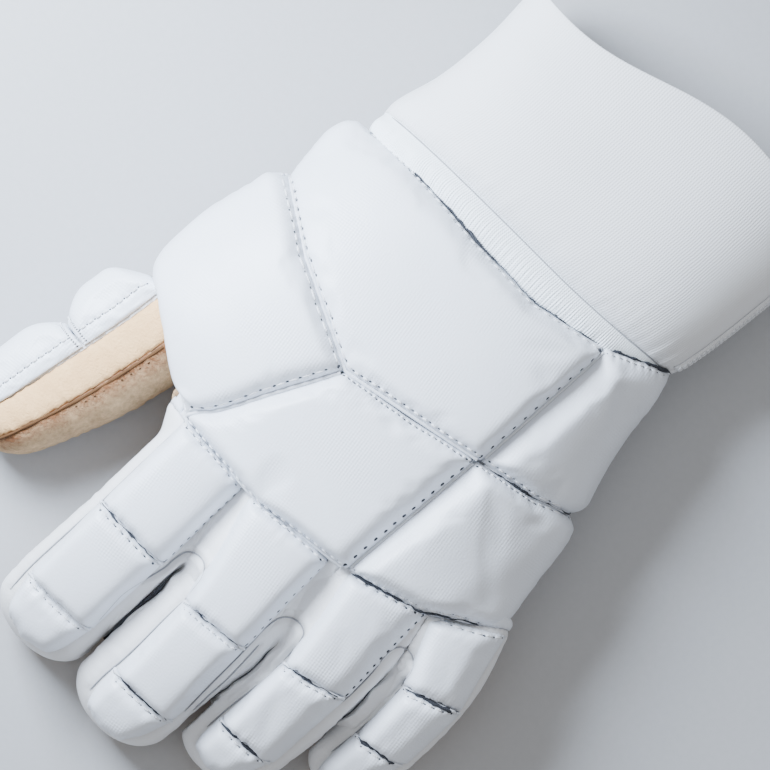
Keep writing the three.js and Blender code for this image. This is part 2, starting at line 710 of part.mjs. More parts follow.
const thumbStart = THUMB.rows[0].y;
addPiece("thumb_back", thumbPart.intersect(wedge(THUMB, ...THUMB_BACK, thumbStart)), WHITE_GUSSET);
addPiece("thumb_side", thumbPart.intersect(wedge(THUMB, ...THUMB_SIDE, thumbStart)), TAN_LEATHER);
addPiece(
  "thumb_palm",
  thumbPart.subtract(wedge(THUMB, THUMB_SIDE[0] - 1, THUMB_BACK[1] + 1, thumbStart)),
  TAN_SUEDE,
);

const underPads = outerForm(PAD_LIFT);
for (const pad of BACK_PADS) {
  const place = planPlace(pad, handAngle);
  const block = padSolid(handSurface, place, pad.thick, BACK_SLOPE, pad.stations);
  addPiece(pad.name, block.subtract(underPads), WHITE_LEATHER);
}
for (const pad of FINGER_PADS) {
  const finger = FINGERS[pad.on];
  const place = planPlace(pad, fingerAngle(finger));
  const block = padSolid(fingerSurface(finger), place, [pad.thick, pad.thick], FINGER_SLOPE, []);
  addPiece(pad.name, block.subtract(underPads), WHITE_LEATHER);
}
for (const pad of THUMB_PADS) {
  const place = (u, v) => [
    pad.round[0] + (pad.round[1] - pad.round[0]) * u,
    pad.along[0] + (pad.along[1] - pad.along[0]) * v,
  ];
  const block = padSolid(fingerSurface(THUMB), place, [pad.thick, pad.thick], FINGER_SLOPE, []);
  addPiece(pad.name, block.subtract(underPads), WHITE_LEATHER);
}

addPiece("wrist_band", tubeWall(bandSurface, BAND_ROWS, BAND_WALL, BAND_SIDES, () => 0), RIBBED_ELASTIC);
const cuff = tubeWall(cuffSurface, CUFF, CUFF_WALL, CUFF_SIDES, rimRise);
addPiece("cuff_back", cuff.intersect(aboveCuffSeam(SEAM_GAP / 2)), CUFF_FABRIC);
addPiece("cuff_under", cuff.subtract(aboveCuffSeam(-SEAM_GAP / 2)), CUFF_FABRIC);
addPiece("cuff_side_tape", sideTape(), CUFF_FABRIC);

// Stand the glove so that the origin is on the resting plane under its middle
const extent = new THREE.Box3().setFromObject(glove);
const middle = extent.getCenter(new THREE.Vector3());
glove.position.set(-middle.x, -middle.y, -extent.min.z);

export default glove;
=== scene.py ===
# %% [markdown]
# # A bandy glove
# This lesson dresses a left-hand bandy glove that lies palm down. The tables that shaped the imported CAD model
# stand here again, and each panel gets its real skin, padding, stitching and weave. The glove has a white
# padded back, tan leather on the palm and thumb, a ribbed elastic band at the wrist and a wide elastic cuff.
# Lengths in this file are in millimetres on the plan that the glove was drawn on, unless a comment says
# metres, and a finished piece is moved to metres in the model's own frame.

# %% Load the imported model
import math
import bmesh
import bpy
from mathutils import Matrix, Vector, noise
from mathutils.bvhtree import BVHTree
from mathutils.kdtree import KDTree


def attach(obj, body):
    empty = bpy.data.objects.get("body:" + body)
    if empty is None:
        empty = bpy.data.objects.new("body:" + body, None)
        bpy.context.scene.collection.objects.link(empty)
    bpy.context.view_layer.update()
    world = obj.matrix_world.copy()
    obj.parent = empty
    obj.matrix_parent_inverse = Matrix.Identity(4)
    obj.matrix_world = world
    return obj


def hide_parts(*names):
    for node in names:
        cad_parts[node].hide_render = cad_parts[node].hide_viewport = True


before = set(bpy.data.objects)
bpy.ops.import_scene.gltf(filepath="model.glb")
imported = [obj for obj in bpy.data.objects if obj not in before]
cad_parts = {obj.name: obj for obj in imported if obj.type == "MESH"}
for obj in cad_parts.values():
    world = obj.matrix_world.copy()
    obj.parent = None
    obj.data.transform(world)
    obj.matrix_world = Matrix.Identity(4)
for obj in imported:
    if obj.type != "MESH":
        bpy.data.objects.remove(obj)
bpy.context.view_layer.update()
# Where the plan's origin lies in the model's frame
PLAN_SHIFT = Vector((2.443, 4.643, 0.0))
TO_FRAME = Matrix.Scale(0.001, 4) @ Matrix.Translation(PLAN_SHIFT)
scene = bpy.context.scene


# %% [markdown]
# The glove's form is a few sections, each a rounded box, joined by smooth curves. The same rows of numbers
# shape the hand, the fingers, the thumb, the band and the cuff, so that every panel, pad and stitch can be
# placed on one surface. A place on a surface is an angle round the section (0 right, 90 up, 180 left) and
# a y along the glove.

# %% The sections of the glove
HAND = {
    "y": [-66, -56, -46, -30, -8, 18, 45, 58],
    "left": [-44, -49.5, -54, -73.5, -77, -71.5, -68, -64],
    "right": [84, 87, 86.5, 83, 77.5, 69, 64, 65],
    "floor": [24, 19, 13, 5, -2.5, -2.5, -2.5, -2],
    "top": [46, 51, 53, 54, 55, 55, 53, 51],
}
FOUR_FINGERS = ("index", "middle", "ring", "pinky")
FINGERS = {
    "index": {
        "tip": 14, "y": [-154, -130, -95, -72, -40], "x": [-28, -27.5, -26, -25.5, -24],
        "z": [12, 23, 33, 35.5, 37], "wide": [19.5, 19.6, 18.6, 18.3, 18.5],
        "tall": [13.5, 13.6, 13.8, 14, 14],
    },
    "middle": {
        "tip": 15, "y": [-156, -132, -98, -72, -40], "x": [12, 12.8, 15, 13, 11],
        "z": [12.5, 24, 34, 37, 38], "wide": [19.6, 20, 20, 21, 21], "tall": [13.8, 14, 14.2, 14.5, 14.5],
    },
    "ring": {
        "tip": 14, "y": [-141, -119, -90, -68, -36], "x": [47.5, 50.5, 54, 53, 50],
        "z": [11.5, 21.5, 32, 35, 36], "wide": [17.5, 18, 17.4, 19, 20], "tall": [13, 13.4, 13.8, 14, 14],
    },
    "pinky": {
        "tip": 12, "y": [-115, -90, -68, -50, -26], "x": [82, 85.5, 85.5, 82.5, 75],
        "z": [11, 20, 28, 30, 31], "wide": [13.5, 14.2, 14.2, 15, 14.5], "tall": [12, 12.4, 12.8, 13, 13],
    },
    "thumb": {
        "tip": 13, "y": [-114, -98, -75, -48, -22, 12], "x": [-88, -82.5, -76, -70, -65, -50],
        "z": [15, 16.5, 17.5, 18.5, 21, 25], "wide": [12.5, 13.5, 16.5, 17.5, 18, 15],
        "tall": [15, 17, 18, 18.5, 18.5, 18],
    },
}
CUFF = {
    "y": [68, 73, 90, 114, 138.7], "left": [-68, -68, -63.5, -61.5, -62], "right": [67, 69, 72, 74, 75.5],
    "floor": [-2, -2.5, -3, -3, -3], "top": [53, 58, 61, 61, 59],
}
BAND = {
    "y": [58.8, 63, 67.4], "left": [-67.5, -68.5, -68], "right": [65, 65.5, 66],
    "floor": [-2, -2, -2], "top": [52, 53.5, 53.5],
}
HAND_SQUARENESS, FINGER_SQUARENESS, CUFF_SQUARENESS = 2.45, 2.5, 2.5
# A section is widest at this share of its height
WIDEST = 0.45
# The wrist seam leans from this x and y on, over these lengths, by this much
LEAN = {"from_x": 12, "over_x": 54, "from_y": 20, "over_y": 38, "most": 5}


def column(table, key, y):
    """One column of a table at any y, as a smooth curve through its rows."""
    ys, values = table["y"], table[key]
    last = len(ys) - 1
    at = min(max(y, ys[0]), ys[last])
    i = 0
    while i < last - 1 and ys[i + 1] <= at:
        i += 1

    def slope(j):
        a, b = max(j - 1, 0), min(j + 1, last)
        return (values[b] - values[a]) / (ys[b] - ys[a])

    span = ys[i + 1] - ys[i]
    t = (at - ys[i]) / span
    t2, t3 = t * t, t * t * t
    return ((2 * t3 - 3 * t2 + 1) * values[i] + (t3 - 2 * t2 + t) * span * slope(i)
            + (3 * t2 - 2 * t3) * values[i + 1] + (t3 - t2) * span * slope(i + 1))


def rounded_box(angle, squareness):
    """Where an angle meets a rounded box one unit across; 2 is an ellipse, more is boxier."""
    c, s = math.cos(math.radians(angle)), math.sin(math.radians(angle))
    power = 2 / squareness
    return math.copysign(abs(c) ** power, c), math.copysign(abs(s) ** power, s)


def lean(x, y):
    """The wrist seam runs up towards the cuff on the little-finger side."""
    across = max(0.0, (x - LEAN["from_x"]) / LEAN["over_x"])
    t = min(max((y - LEAN["from_y"]) / LEAN["over_y"], 0.0), 1.0)
    return LEAN["most"] * across * across * t * t * (3 - 2 * t)


def box_surface(table, squareness):
    def point(angle, y, grow=0.0):
        left, right = column(table, "left", y) - grow, column(table, "right", y) + grow
        floor, top = column(table, "floor", y) - grow, column(table, "top", y) + grow
        across, up = rounded_box(angle, squareness)
        widest = floor + WIDEST * (top - floor)
        x = (left + right) / 2 + across * (right - left) / 2
        z = widest + up * ((top - widest) if up > 0 else (widest - floor))
        return Vector((x, y + lean(x, y), max(z, -min(grow, 0.0))))
    return point


def finger_surface(name):
    finger = FINGERS[name]

    def point(angle, y, grow=0.0):
        into = min(max((finger["y"][0] + finger["tip"] - y) / finger["tip"], 0.0), 1.0)
        end = math.sqrt(1 - into * into)
        across, up = rounded_box(angle, FINGER_SQUARENESS)
        x = column(finger, "x", y) + across * (column(finger, "wide", y) * end + grow)
        z = column(finger, "z", y) + up * (column(finger, "tall", y) * end + grow)
        return Vector((x, y, max(z, -min(grow, 0.0))))
    return point


hand_surface = box_surface(HAND, HAND_SQUARENESS)
cuff_surface = box_surface(CUFF, CUFF_SQUARENESS)
band_surface = box_surface(BAND, CUFF_SQUARENESS)
finger_surfaces = {name: finger_surface(name) for name in FINGERS}
WELL_CLEAR = 50


def outward(angle):
    return Vector((math.cos(math.radians(angle)), 0, math.sin(math.radians(angle))))


def normal_on(surface, angle, y):
    """Outward direction, read from a point grown well clear of the section's sharp turns."""
    a, b = surface(angle + 0.5, y, WELL_CLEAR), surface(angle - 0.5, y, WELL_CLEAR)
    c, d = surface(angle, y - 0.5, WELL_CLEAR), surface(angle, y + 0.5, WELL_CLEAR)
    return (a - b).cross(c - d).normalized()


print("the middle fingertip reaches", [round(v, 1) for v in finger_surfaces["middle"](90, -156)])

# %% [markdown]
# A grid is the start of most pieces: Blender makes a flat grid one unit across, and each of its corners
# is then moved to its place on a surface. Two shares, u across and v along, say where a corner belongs.
# This keeps even faces that bend well, where a cut-up solid would show its facets.

# %% Grids, meshes and finished pieces


def grid_mesh(across, along, place):
    """A grid whose corners are moved to place(u, v), with u and v from 0 to 1."""
    bm = bmesh.new()
    bmesh.ops.create_grid(bm, x_segments=across, y_segments=along, size=0.5)
    for vert in bm.verts:
        vert.co = place(vert.co.x + 0.5, vert.co.y + 0.5)
    return bm


def smooth_object(mesh, name):
    for face in mesh.polygons:
        face.use_smooth = True
    obj = bpy.data.objects.new(name, mesh)
    scene.collection.objects.link(obj)
    return obj


def object_of(bm, name):
    mesh = bpy.data.meshes.new(name)
    bm.to_mesh(mesh)
    bm.free()
    return smooth_object(mesh, name)


def close_up(bm, dist):
    """Merges the two sides of a seam, fills open ends and turns the faces outwards."""
    bmesh.ops.remove_doubles(bm, verts=bm.verts, dist=dist)
    bmesh.ops.holes_fill(bm, edges=[e for e in bm.edges if e.is_boundary], sides=0)
    bmesh.ops.recalc_face_normals(bm, faces=bm.faces)


def applied(obj):
    """Replaces an object's mesh by what its modifiers make of it."""
    bpy.context.view_layer.update()
    graph = bpy.context.evaluated_depsgraph_get()
    mesh = bpy.data.meshes.new_from_object(obj.evaluated_get(graph), depsgraph=graph)
    obj.modifiers.clear()
    obj.data = mesh
    return obj


def joined(parts):
    """Several meshes in one."""
    whole = bmesh.new()
    for part in parts:
        mesh = bpy.data.meshes.new("part")
        part.to_mesh(mesh)
        part.free()
        whole.from_mesh(mesh)
        bpy.data.meshes.remove(mesh)
    return whole


def in_frame(obj):
    """From plan millimetres to metres in the model's frame; the object itself stays at the origin."""
    obj.data.transform(TO_FRAME)
    obj.data.update()
    return obj


def triangles(objects):
    return sum(len(face.vertices) - 2 for obj in objects for face in obj.data.polygons)


def ease(t):
    t = min(max(t, 0.0), 1.0)
    return t * t * (3 - 2 * t)


# %% [markdown]
# The skin under the pads is soft and closed: a finger or the thumb melts into the hand at its root, as
# wet-moulded leather does. Each is lofted as a grid rolled into a tube, the tubes are put in one mesh, and a
# voxel remesh makes them one surface. The hand is made once with all its fingers. Each finger is then made
# once more with the hand alone, so that two fingers that nearly touch don't run together.

# %% The skins of hand, fingers and thumb
SKIN_VOXEL = 1.3
SMOOTHINGS = 6
HAND_SIDES, FINGER_SIDES = 128, 72
HAND_STEPS, FINGER_STEPS = 50, 40
# Where the hand ends: with all its fingers, and as the short root of one finger
HAND_END, ROOT_END = 58, -12


def loft(surface, stations, sides):
    """A closed tube through the stations; its seam and its tip are merged and open ends are filled."""
    last = len(stations) - 1

    def place(u, v):
        return surface(360 * u, stations[round(v * last)])

    bm = grid_mesh(sides, last, place)
    close_up(bm, 0.01)
    return bm


def finger_stations(name):
    finger = FINGERS[name]
    tip, radius = finger["y"][0], finger["tip"]
    rounded = [tip + radius - radius * math.sin(math.radians(a)) for a in range(90, 0, -6)]
    length = finger["y"][-1] - tip - radius
    return rounded + [tip + radius + i * length / FINGER_STEPS for i in range(FINGER_STEPS + 1)]


def skin_of(names, hand_end):
    """The hand up to an end, and the named fingers, as one smooth closed surface."""
    first = HAND["y"][0]
    hand_stations = [first + i * (hand_end - first) / HAND_STEPS for i in range(HAND_STEPS + 1)]
    lofts = [loft(hand_surface, hand_stations, HAND_SIDES)]
    lofts += [loft(finger_surfaces[name], finger_stations(name), FINGER_SIDES) for name in names]
    skin = object_of(joined(lofts), "skin")
    remesh = skin.modifiers.new("one surface", "REMESH")
    remesh.mode = "VOXEL"
    remesh.voxel_size = SKIN_VOXEL
    applied(skin)
    bm = bmesh.new()
    bm.from_mesh(skin.data)
    for _ in range(SMOOTHINGS):
        bmesh.ops.smooth_vert(bm, verts=bm.verts, factor=0.5,
                              use_axis_x=True, use_axis_y=True, use_axis_z=True)
    bpy.data.objects.remove(skin)
    return bm


skins = {"hand": skin_of(FINGERS, HAND_END)}
for name in FOUR_FINGERS:
    skins[name] = skin_of([name], ROOT_END)
print("skins:", {name: len(bm.faces) for name, bm in skins.items()}, "faces")

# %% [markdown]
# Leather panels are sewn from flat pieces, so the skins are now cut where the real seams run. A bisect along
# a short plane, kept to the faces beside one stretch of seam, lays a clean row of edges through the mesh.
# The hand ends at the knuckle seam, each finger at the valleys beside it, and the thumb at its slanting root.

# %% Seam lines and the first cuts
KNUCKLES = [(-60, -56), (-9, -58.5), (33, -53), (66, -45), (89, -29.5), (115, -24)]
VALLEYS = [
    [(-9, -58.5), (-7.4, -90), (-6.9, -125), (-8.2, -180)],
    [(33, -53), (34, -85), (35.3, -110), (33, -180)],
    [(66, -45), (70.5, -66), (70.5, -95), (69.5, -180)],
]
THUMB_ROOT = [(-92, -22.5), (-49, -52)]
THUMB_CLEFT = [(-49, -52), (-51.5, -72), (-55, -90), (-58, -130)]
SIDE_SEAMS = [[(-42, -64), (-52, -10), (-50, 80)], [(70, -64), (56, 0), (50, 80)]]
PALM_SEAM = [(-60, 28), (-46, 21), (-30, 12), (-8, 9), (90, 9)]
FINGER_SPLIT = 35
THUMB_SEAMS = (76, 120.5, 236)
# The thumb's root is cut only left of this x, and each cut takes the faces this near to its line
THUMB_SIDE = -44
CUT_REACH = 6.0


def level(line, at):
    """The second number of a line of pairs where its first number is at."""
    if at <= line[0][0]:
        return line[0][1]
    for (a, va), (b, vb) in zip(line, line[1:]):
        if at <= b:
            return va + (vb - va) * (at - a) / (b - a)
    return line[-1][1]


def crosswise(line):
    """The same line read by its y instead of its x."""
    return sorted((y, x) for x, y in line)


def bisect(bm, point, normal, beside):
    faces = [f for f in bm.faces if beside(f.calc_center_median())]
    edges = {e for f in faces for e in f.edges}
    verts = {v for f in faces for v in f.verts}
    bmesh.ops.bisect_plane(bm, geom=faces + list(edges) + list(verts), plane_co=point,
                           plane_no=Vector(normal).normalized(), dist=0.02)


def cut_plan_line(bm, line, where):
    """Upright cuts under each stretch of a plan line."""
    for (ax, ay), (bx, by) in zip(line, line[1:]):
        along = Vector((bx - ax, by - ay, 0))
        length = along.length
        along /= length
        normal = Vector((-along.y, along.x, 0))
        start = Vector((ax, ay, 0))

        def beside(c):
            offset = Vector((c.x, c.y, 0)) - start
            return abs(offset.dot(normal)) < CUT_REACH and -1 < offset.dot(along) < length + 1 and where(c)
        bisect(bm, start, normal, beside)


def below_line(line, c):
    return c.y < level(line, c.x)


def in_thumb(c):
    (ax, ay), (bx, by) = THUMB_ROOT
    beyond_root = (bx - ax) * (c.y - ay) - (by - ay) * (c.x - ax) < 0
    return beyond_root and c.x < level(crosswise(THUMB_CLEFT), c.y)


def zone_of(c):
    """Which part of the glove a point on the skin belongs to."""
    if in_thumb(c):
        return "thumb"
    if not below_line(KNUCKLES, c):
        return "hand"
    passed = sum(c.x > level(crosswise(valley), c.y) for valley in VALLEYS)
    return FOUR_FINGERS[passed]


def split_off(source, wanted):
    """A new mesh of some of another's faces, chosen by their numbers."""
    piece = source.copy()
    keep = set(wanted)
    bmesh.ops.delete(piece, geom=[f for f in piece.faces if f.index not in keep], context="FACES")
    return piece


regions = {}
for name, bm in skins.items():
    if name == "hand":
        cut_plan_line(bm, THUMB_ROOT, where=lambda c: c.x < THUMB_SIDE)
    cut_plan_line(bm, KNUCKLES, where=lambda c: not in_thumb(c))
    for valley in VALLEYS:
        cut_plan_line(bm, valley, where=lambda c: below_line(KNUCKLES, c))
    bm.faces.index_update()
    bm.normal_update()
    found = {}
    for face in bm.faces:
        centre = face.calc_center_median()
        # The flat face that closes the hand's end is left out
        if centre.y < HAND_END - 0.5 or abs(face.normal.y) < 0.9:
            found.setdefault(zone_of(centre), []).append(face.index)
    for zone in (("hand", "thumb") if name == "hand" else (name,)):
        regions[zone] = split_off(bm, found[zone])
    bm.free()
print("cut:", {name: len(region.faces) for name, region in regions.items()})

# %% [markdown]
# The second cuts part white leather from tan. On the hand the seam keeps a height that rises towards the
# knuckles. On a finger or the thumb it runs at a fixed angle round the centre line. Each panel's edge is then
# pulled inwards over its last few millimetres, which gives every seam its soft V, and a Solidify modifier
# gives the leather its thickness on the inside.

# %% Cut the panels and turn their edges in
LEATHER = 2.0
SEAM_DEPTHS = (0.95, 0.4, 0.12)
# A cut along a finger is made in stretches, and starts before its tip and ends past its root
STRETCHES, BEFORE_TIP, PAST_ROOT = 9, 20, 30


def cut_round(bm, finger, angle):
    """Cuts along the line that leaves a finger's centre line at an angle."""
    first, last = finger["y"][0], finger["y"][-1]
    stations = [first + i * (last - first) / STRETCHES for i in range(STRETCHES + 1)]
    stations = [first - BEFORE_TIP] + stations + [last + PAST_ROOT]
    out = outward(angle)
    for a, b in zip(stations, stations[1:]):
        start = Vector((column(finger, "x", a), a, column(finger, "z", a)))
        end = Vector((column(finger, "x", b), b, column(finger, "z", b)))

        def beside(c):
            return a <= c.y <= b and (c - start).dot(out) > 0
        bisect(bm, start, (end - start).cross(out), beside)


def angle_round(finger, c):
    x, z = column(finger, "x", c.y), column(finger, "z", c.y)
    return math.degrees(math.atan2(c.z - z, c.x - x)) % 360


def cut_palm_seam(bm):
    for (ya, za), (yb, zb) in zip(PALM_SEAM, PALM_SEAM[1:]):
        def beside(c):
            return ya <= c.y <= yb and abs(c.z - level(PALM_SEAM, c.y)) < CUT_REACH
        bisect(bm, (0, ya, za), (0, za - zb, yb - ya), beside)


def panel_groups(bm, which):
    bm.faces.index_update()
    groups = {}
    for face in bm.faces:
        groups.setdefault(which(face.calc_center_median()), []).append(face.index)
    return groups


def hand_panel(c):
    if c.z < level(PALM_SEAM, c.y):
        return "palm_panel"
    if c.x < level(crosswise(SIDE_SEAMS[0]), c.y):
        return "hand_side_panel_thumb"
    return "hand_side_panel_little" if c.x > level(crosswise(SIDE_SEAMS[1]), c.y) else "hand_back_panel"


def thumb_panel(c):
    angle = angle_round(FINGERS["thumb"], c)
    side, back, under = THUMB_SEAMS
    if side < angle < back:
        return "thumb_side_panel"
    return "thumb_back_panel" if back < angle < under else "thumb_inner_panel"


def finger_panel(name):
    def which(c):
        angle = angle_round(FINGERS[name], c)
        is_palm = 180 + FINGER_SPLIT < angle < 360 - FINGER_SPLIT
        return f"{name}_palm_panel" if is_palm else f"{name}_back_panel"
    return which


def turn_edges_in(bm, depths):
    """Pulls the outer rows of a panel inwards, the last one most."""
    bm.normal_update()
    ring = {v for v in bm.verts if any(e.is_boundary for e in v.link_edges)}
    seen = set(ring)
    moves = []
    for depth in depths:
        moves += [(v, v.normal * -depth) for v in ring]
        ring = {e.other_vert(v) for v in ring for e in v.link_edges} - seen
        seen |= ring
    for vert, move in moves:
        vert.co += move


cut_palm_seam(regions["hand"])
for line in SIDE_SEAMS:
    cut_plan_line(regions["hand"], line, where=lambda c: c.z > level(PALM_SEAM, c.y))
for angle in THUMB_SEAMS:
    cut_round(regions["thumb"], FINGERS["thumb"], angle)
for name in FOUR_FINGERS:
    for angle in (180 + FINGER_SPLIT, 360 - FINGER_SPLIT):
        cut_round(regions[name], FINGERS[name], angle)
panels = {}
for name, region in regions.items():
    which = {"hand": hand_panel, "thumb": thumb_panel}.get(name) or finger_panel(name)
    for panel, faces in panel_groups(region, which).items():
        panels[panel] = split_off(region, faces)
    region.free()
print({name: len(piece.faces) for name, piece in panels.items()})

# %% [markdown]
# Thin leather over a moving finger never lies smooth: it creases across the joints and puckers beside
# seams. A noise that is stretched along the crease pushes the skin in and out by a few tenths of a
# millimetre. The same noise gives the same folds on each run, because it depends only on the place.

# %% Creases in the finger leather
JOINTS = {
    "index": (-97, -131), "middle": (-98, -132), "ring": (-90, -119), "pinky": (-68, -90),
    "thumb": (-63, -88),
}
CREASE, THUMB_CREASE = 0.5, 0.9
JOINT_REACH = 8


def wander(x, y, z):
    """A wave between about -1 and 1 that depends only on the place."""
    return noise.noise(Vector((x, y, z)))


def crease(place, joints):
    near = max(math.exp(-((place.y - joint) / JOINT_REACH) ** 2) for joint in joints)
    across = wander(place.x * 0.05, place.y * 0.34, place.z * 0.09)
    fine = noise.noise(Vector((place.x * 0.16, place.y * 0.5, place.z * 0.2)) + Vector((7, 3, 1)))
    return (0.25 + 0.55 * near) * across + (0.1 + 0.2 * near) * fine


NODES_OF_PANEL = {
    "palm_panel": "palm_leather", "hand_side_panel_thumb": "hand_side_thumb",
    "hand_side_panel_little": "hand_side_little", "hand_back_panel": "hand_shell",
    "thumb_side_panel": "thumb_side", "thumb_back_panel": "thumb_back", "thumb_inner_panel": "thumb_palm",
}
panel_objects = {}
for name, piece in panels.items():
    piece.normal_update()
    finger = name.split("_")[0]
    if finger in JOINTS:
        most = THUMB_CREASE if finger == "thumb" else CREASE
        moves = [(v, v.normal * crease(v.co, JOINTS[finger]) * most) for v in piece.verts]
        for vert, move in moves:
            if vert.co.z > 1 or move.z > 0:
                vert.co += move
    turn_edges_in(piece, SEAM_DEPTHS)
    panel_objects[name] = in_frame(object_of(piece, name))
print("panels:", triangles(panel_objects.values()), "triangles before they get their thickness")

# %% [markdown]
# The pads are slabs of foam under white leather: a flat top, and sloping edges that fall to a sewn seam.
# Where two pads meet, their seam lines all but coincide. A pad is drawn on the plan, between the line nearer
# the cuff and the line nearer the fingertips, and laid on the hand or finger below it. Past the edge of the
# hand the plan runs on down its side. Each of its four edges starts at its own height and has its own width
# of slope: a seam across a finger is a shallow crease, while the long valleys beside a pad go right down.
# Three pads of the back swell further where they wrap round the hand's sides.

# %% The pads' seam lines
SEAMS = {
    "band": [(-71, 58.9), (-57, 58.8), (-38, 58.3), (-12, 56), (16, 55.3), (43, 60.5)],
    "band_side": [(43, 60.5), (55, 65.5), (67, 70)],
    "wrist": [(-82, 36.5), (-68.5, 26.6), (-47, 11.2), (-12, -6.3), (14, -1.2), (40, 4)],
    "side": [(40, 4), (60, 7.8), (83.5, 17.5)],
    "thumb_top": [(-84, 36.5), (-68.5, 26.3), (-47, 10.9), (-12, -6.3)],
    "thumb_low": [(-89.5, -23.5), (-62.5, -38.5), (-37.5, -55.2)],
    "middle_top": [(-12, -6.3), (13, -2.2), (38.8, 3.6)],
    "middle_low": [(-37.5, -55.2), (-2, -57.2), (35, -52.8)],
    "lower_top": [(38.8, 3.6), (60, 7.8), (84.5, 16.5)],
    "lower_low": [(35, -52.8), (60, -46.5), (89, -29.7)],
}
# An edge is (height of the leather at the seam, width of its slope).
# A pad has four: nearer the cuff, nearer the tips, left and right.
KNUCKLE_EDGE, JOINT_EDGE, OPEN_EDGE = (4.2, 3.2), (5.4, 2.8), (1.1, 7.0)
FINGER_ROOT = [KNUCKLE_EDGE, JOINT_EDGE, (2.0, 5.5), (1.1, 6.5)]
FINGER_MIDDLE = [JOINT_EDGE, JOINT_EDGE, (1.6, 5.0), (1.1, 6.5)]
FINGER_TIP = [JOINT_EDGE, OPEN_EDGE, (1.4, 4.5), (1.1, 6.0)]
# name: (what it lies on, thickness at its left, at its right, line nearer the cuff, nearer the tips, edges)
PADS = {
    "back_pad_wrist": ("hand", 6, 11.8, SEAMS["band"], SEAMS["wrist"],
                       [(2.4, 5.5), (6.6, 3.2), (1.1, 8.5), (4.8, 5.4)]),
    "back_pad_side_upper": ("hand", 12, 5, SEAMS["band_side"], SEAMS["side"],
                            [(3.2, 6), (3.6, 4.5), (4.8, 4.6), OPEN_EDGE]),
    "back_pad_thumb_side": ("hand", 12, 12, SEAMS["thumb_top"], SEAMS["thumb_low"],
                            [(7, 3.4), (3.4, 6), (1.1, 9), (7.6, 3.6)]),
    "back_pad_middle": ("hand", 11, 11, SEAMS["middle_top"], SEAMS["middle_low"],
                        [(6.6, 3.2), KNUCKLE_EDGE, (7.2, 3.4), (4.6, 5.8)]),
    "back_pad_side_lower": ("hand", 12, 6, SEAMS["lower_top"], SEAMS["lower_low"],
                            [(3.6, 4), (3.2, 4), (4.6, 5), (2, 8)]),
    "index_pad_1": ("index", 9, 9, [(-38.8, -55.8), (-9.8, -57.8)],
                    [(-39.6, -95.5), (-10.5, -96)], FINGER_ROOT),
    "index_pad_2": ("index", 9, 9, [(-40, -95.5), (-11, -96)],
                    [(-41.2, -130.5), (-12.5, -130)], FINGER_MIDDLE),
    "index_pad_3": ("index", 8, 8, [(-41.2, -130.5), (-12.5, -130)],
                    [(-38.6, -147), (-28, -150.5), (-16, -148)], FINGER_TIP),
    "middle_pad_1": ("middle", 9.5, 9.5, [(-5, -58), (28.5, -55)],
                     [(3.6, -99), (29.5, -96.3)], FINGER_ROOT),
    "middle_pad_2": ("middle", 9.5, 9.5, [(3.6, -99), (29.5, -96.3)],
                     [(3.5, -133), (29.5, -132)], FINGER_MIDDLE),
    "middle_pad_3": ("middle", 8, 8, [(2.5, -133), (29.5, -132)],
                     [(3, -150.5), (13, -153), (24, -151.5)], FINGER_TIP),
    "ring_pad_1": ("ring", 11.5, 4.6, [(37, -52.6), (65, -44.7)], [(43, -90.5), (66, -84.2)], FINGER_ROOT),
    "ring_pad_2": ("ring", 11, 6, [(42.5, -90.5), (66, -84.2)],
                   [(41, -119.5), (64.5, -118.5)], FINGER_MIDDLE),
    "ring_pad_3": ("ring", 8.5, 6.5, [(40.5, -119.5), (64, -118.5)],
                   [(40, -134), (49, -137), (58, -135)], FINGER_TIP),
    "pinky_pad_1": ("pinky", 12, 3, [(67.5, -44), (89.5, -31)], [(77, -67.5), (97, -60.5)], FINGER_ROOT),
    "pinky_pad_2": ("pinky", 10.5, 4.5, [(77.3, -67.5), (97.5, -60.5)],
                    [(78, -91), (97.5, -87)], FINGER_MIDDLE),
    "pinky_pad_3": ("pinky", 8, 5.5, [(77.5, -91), (97, -87)], [(76.5, -111), (91, -111)], FINGER_TIP),
}
# The thumb's pads face the side, so their plan is an angle round it, 0.3 mm a degree, and a y.
THUMB_EDGE = (4.6, 9)
# name: (thickness, y of its line nearer the cuff, of the one nearer the tip, edges)
THUMB_PADS = {
    "thumb_pad_1": (12.5, -30.5, -63.8, [(1.1, 9), THUMB_EDGE, (1.1, 42), (1.1, 12)]),
    "thumb_pad_2": (11.5, -63.8, -107.5, [THUMB_EDGE, (1.1, 12), (1.1, 40), (1.1, 12)]),
}
THUMB_PAD_ANGLES = (121, 222)
# How widely a pad's slope rounds over into its top
RIDGE = {"hand": 2.6, "finger": 1.4, "thumb": 4.0}
DEGREE = 0.3
# How much longer the thumb's leather is round its side than on that plan
ARC_SHARE = 3.4
# Three pads swell towards the hand's side: (height, side, share it covers, where it is highest, how long)
LOBES = {
    "back_pad_wrist": (12.5, 0, 0.22, 0.25, 0.5), "back_pad_side_upper": (8.5, 1, 0.52, 1, 0.55),
    "back_pad_side_lower": (8, 1, 0.46, 0, 0.38),
}
NO_LOBE = (0, 0, 1, 0, 1)
# How much of the swelling the seams across a pad follow
SEAM_SWELL = 0.75
PAD_CLEARANCE = 3.0


def along_line(points, share):
    """A place on a line by share, each of its stretches counting the same."""
    stretch = min(int(share * (len(points) - 1)), len(points) - 2)
    t = share * (len(points) - 1) - stretch
    (ax, ay), (bx, by) = points[stretch], points[stretch + 1]
    return ax + (bx - ax) * t, ay + (by - ay) * t


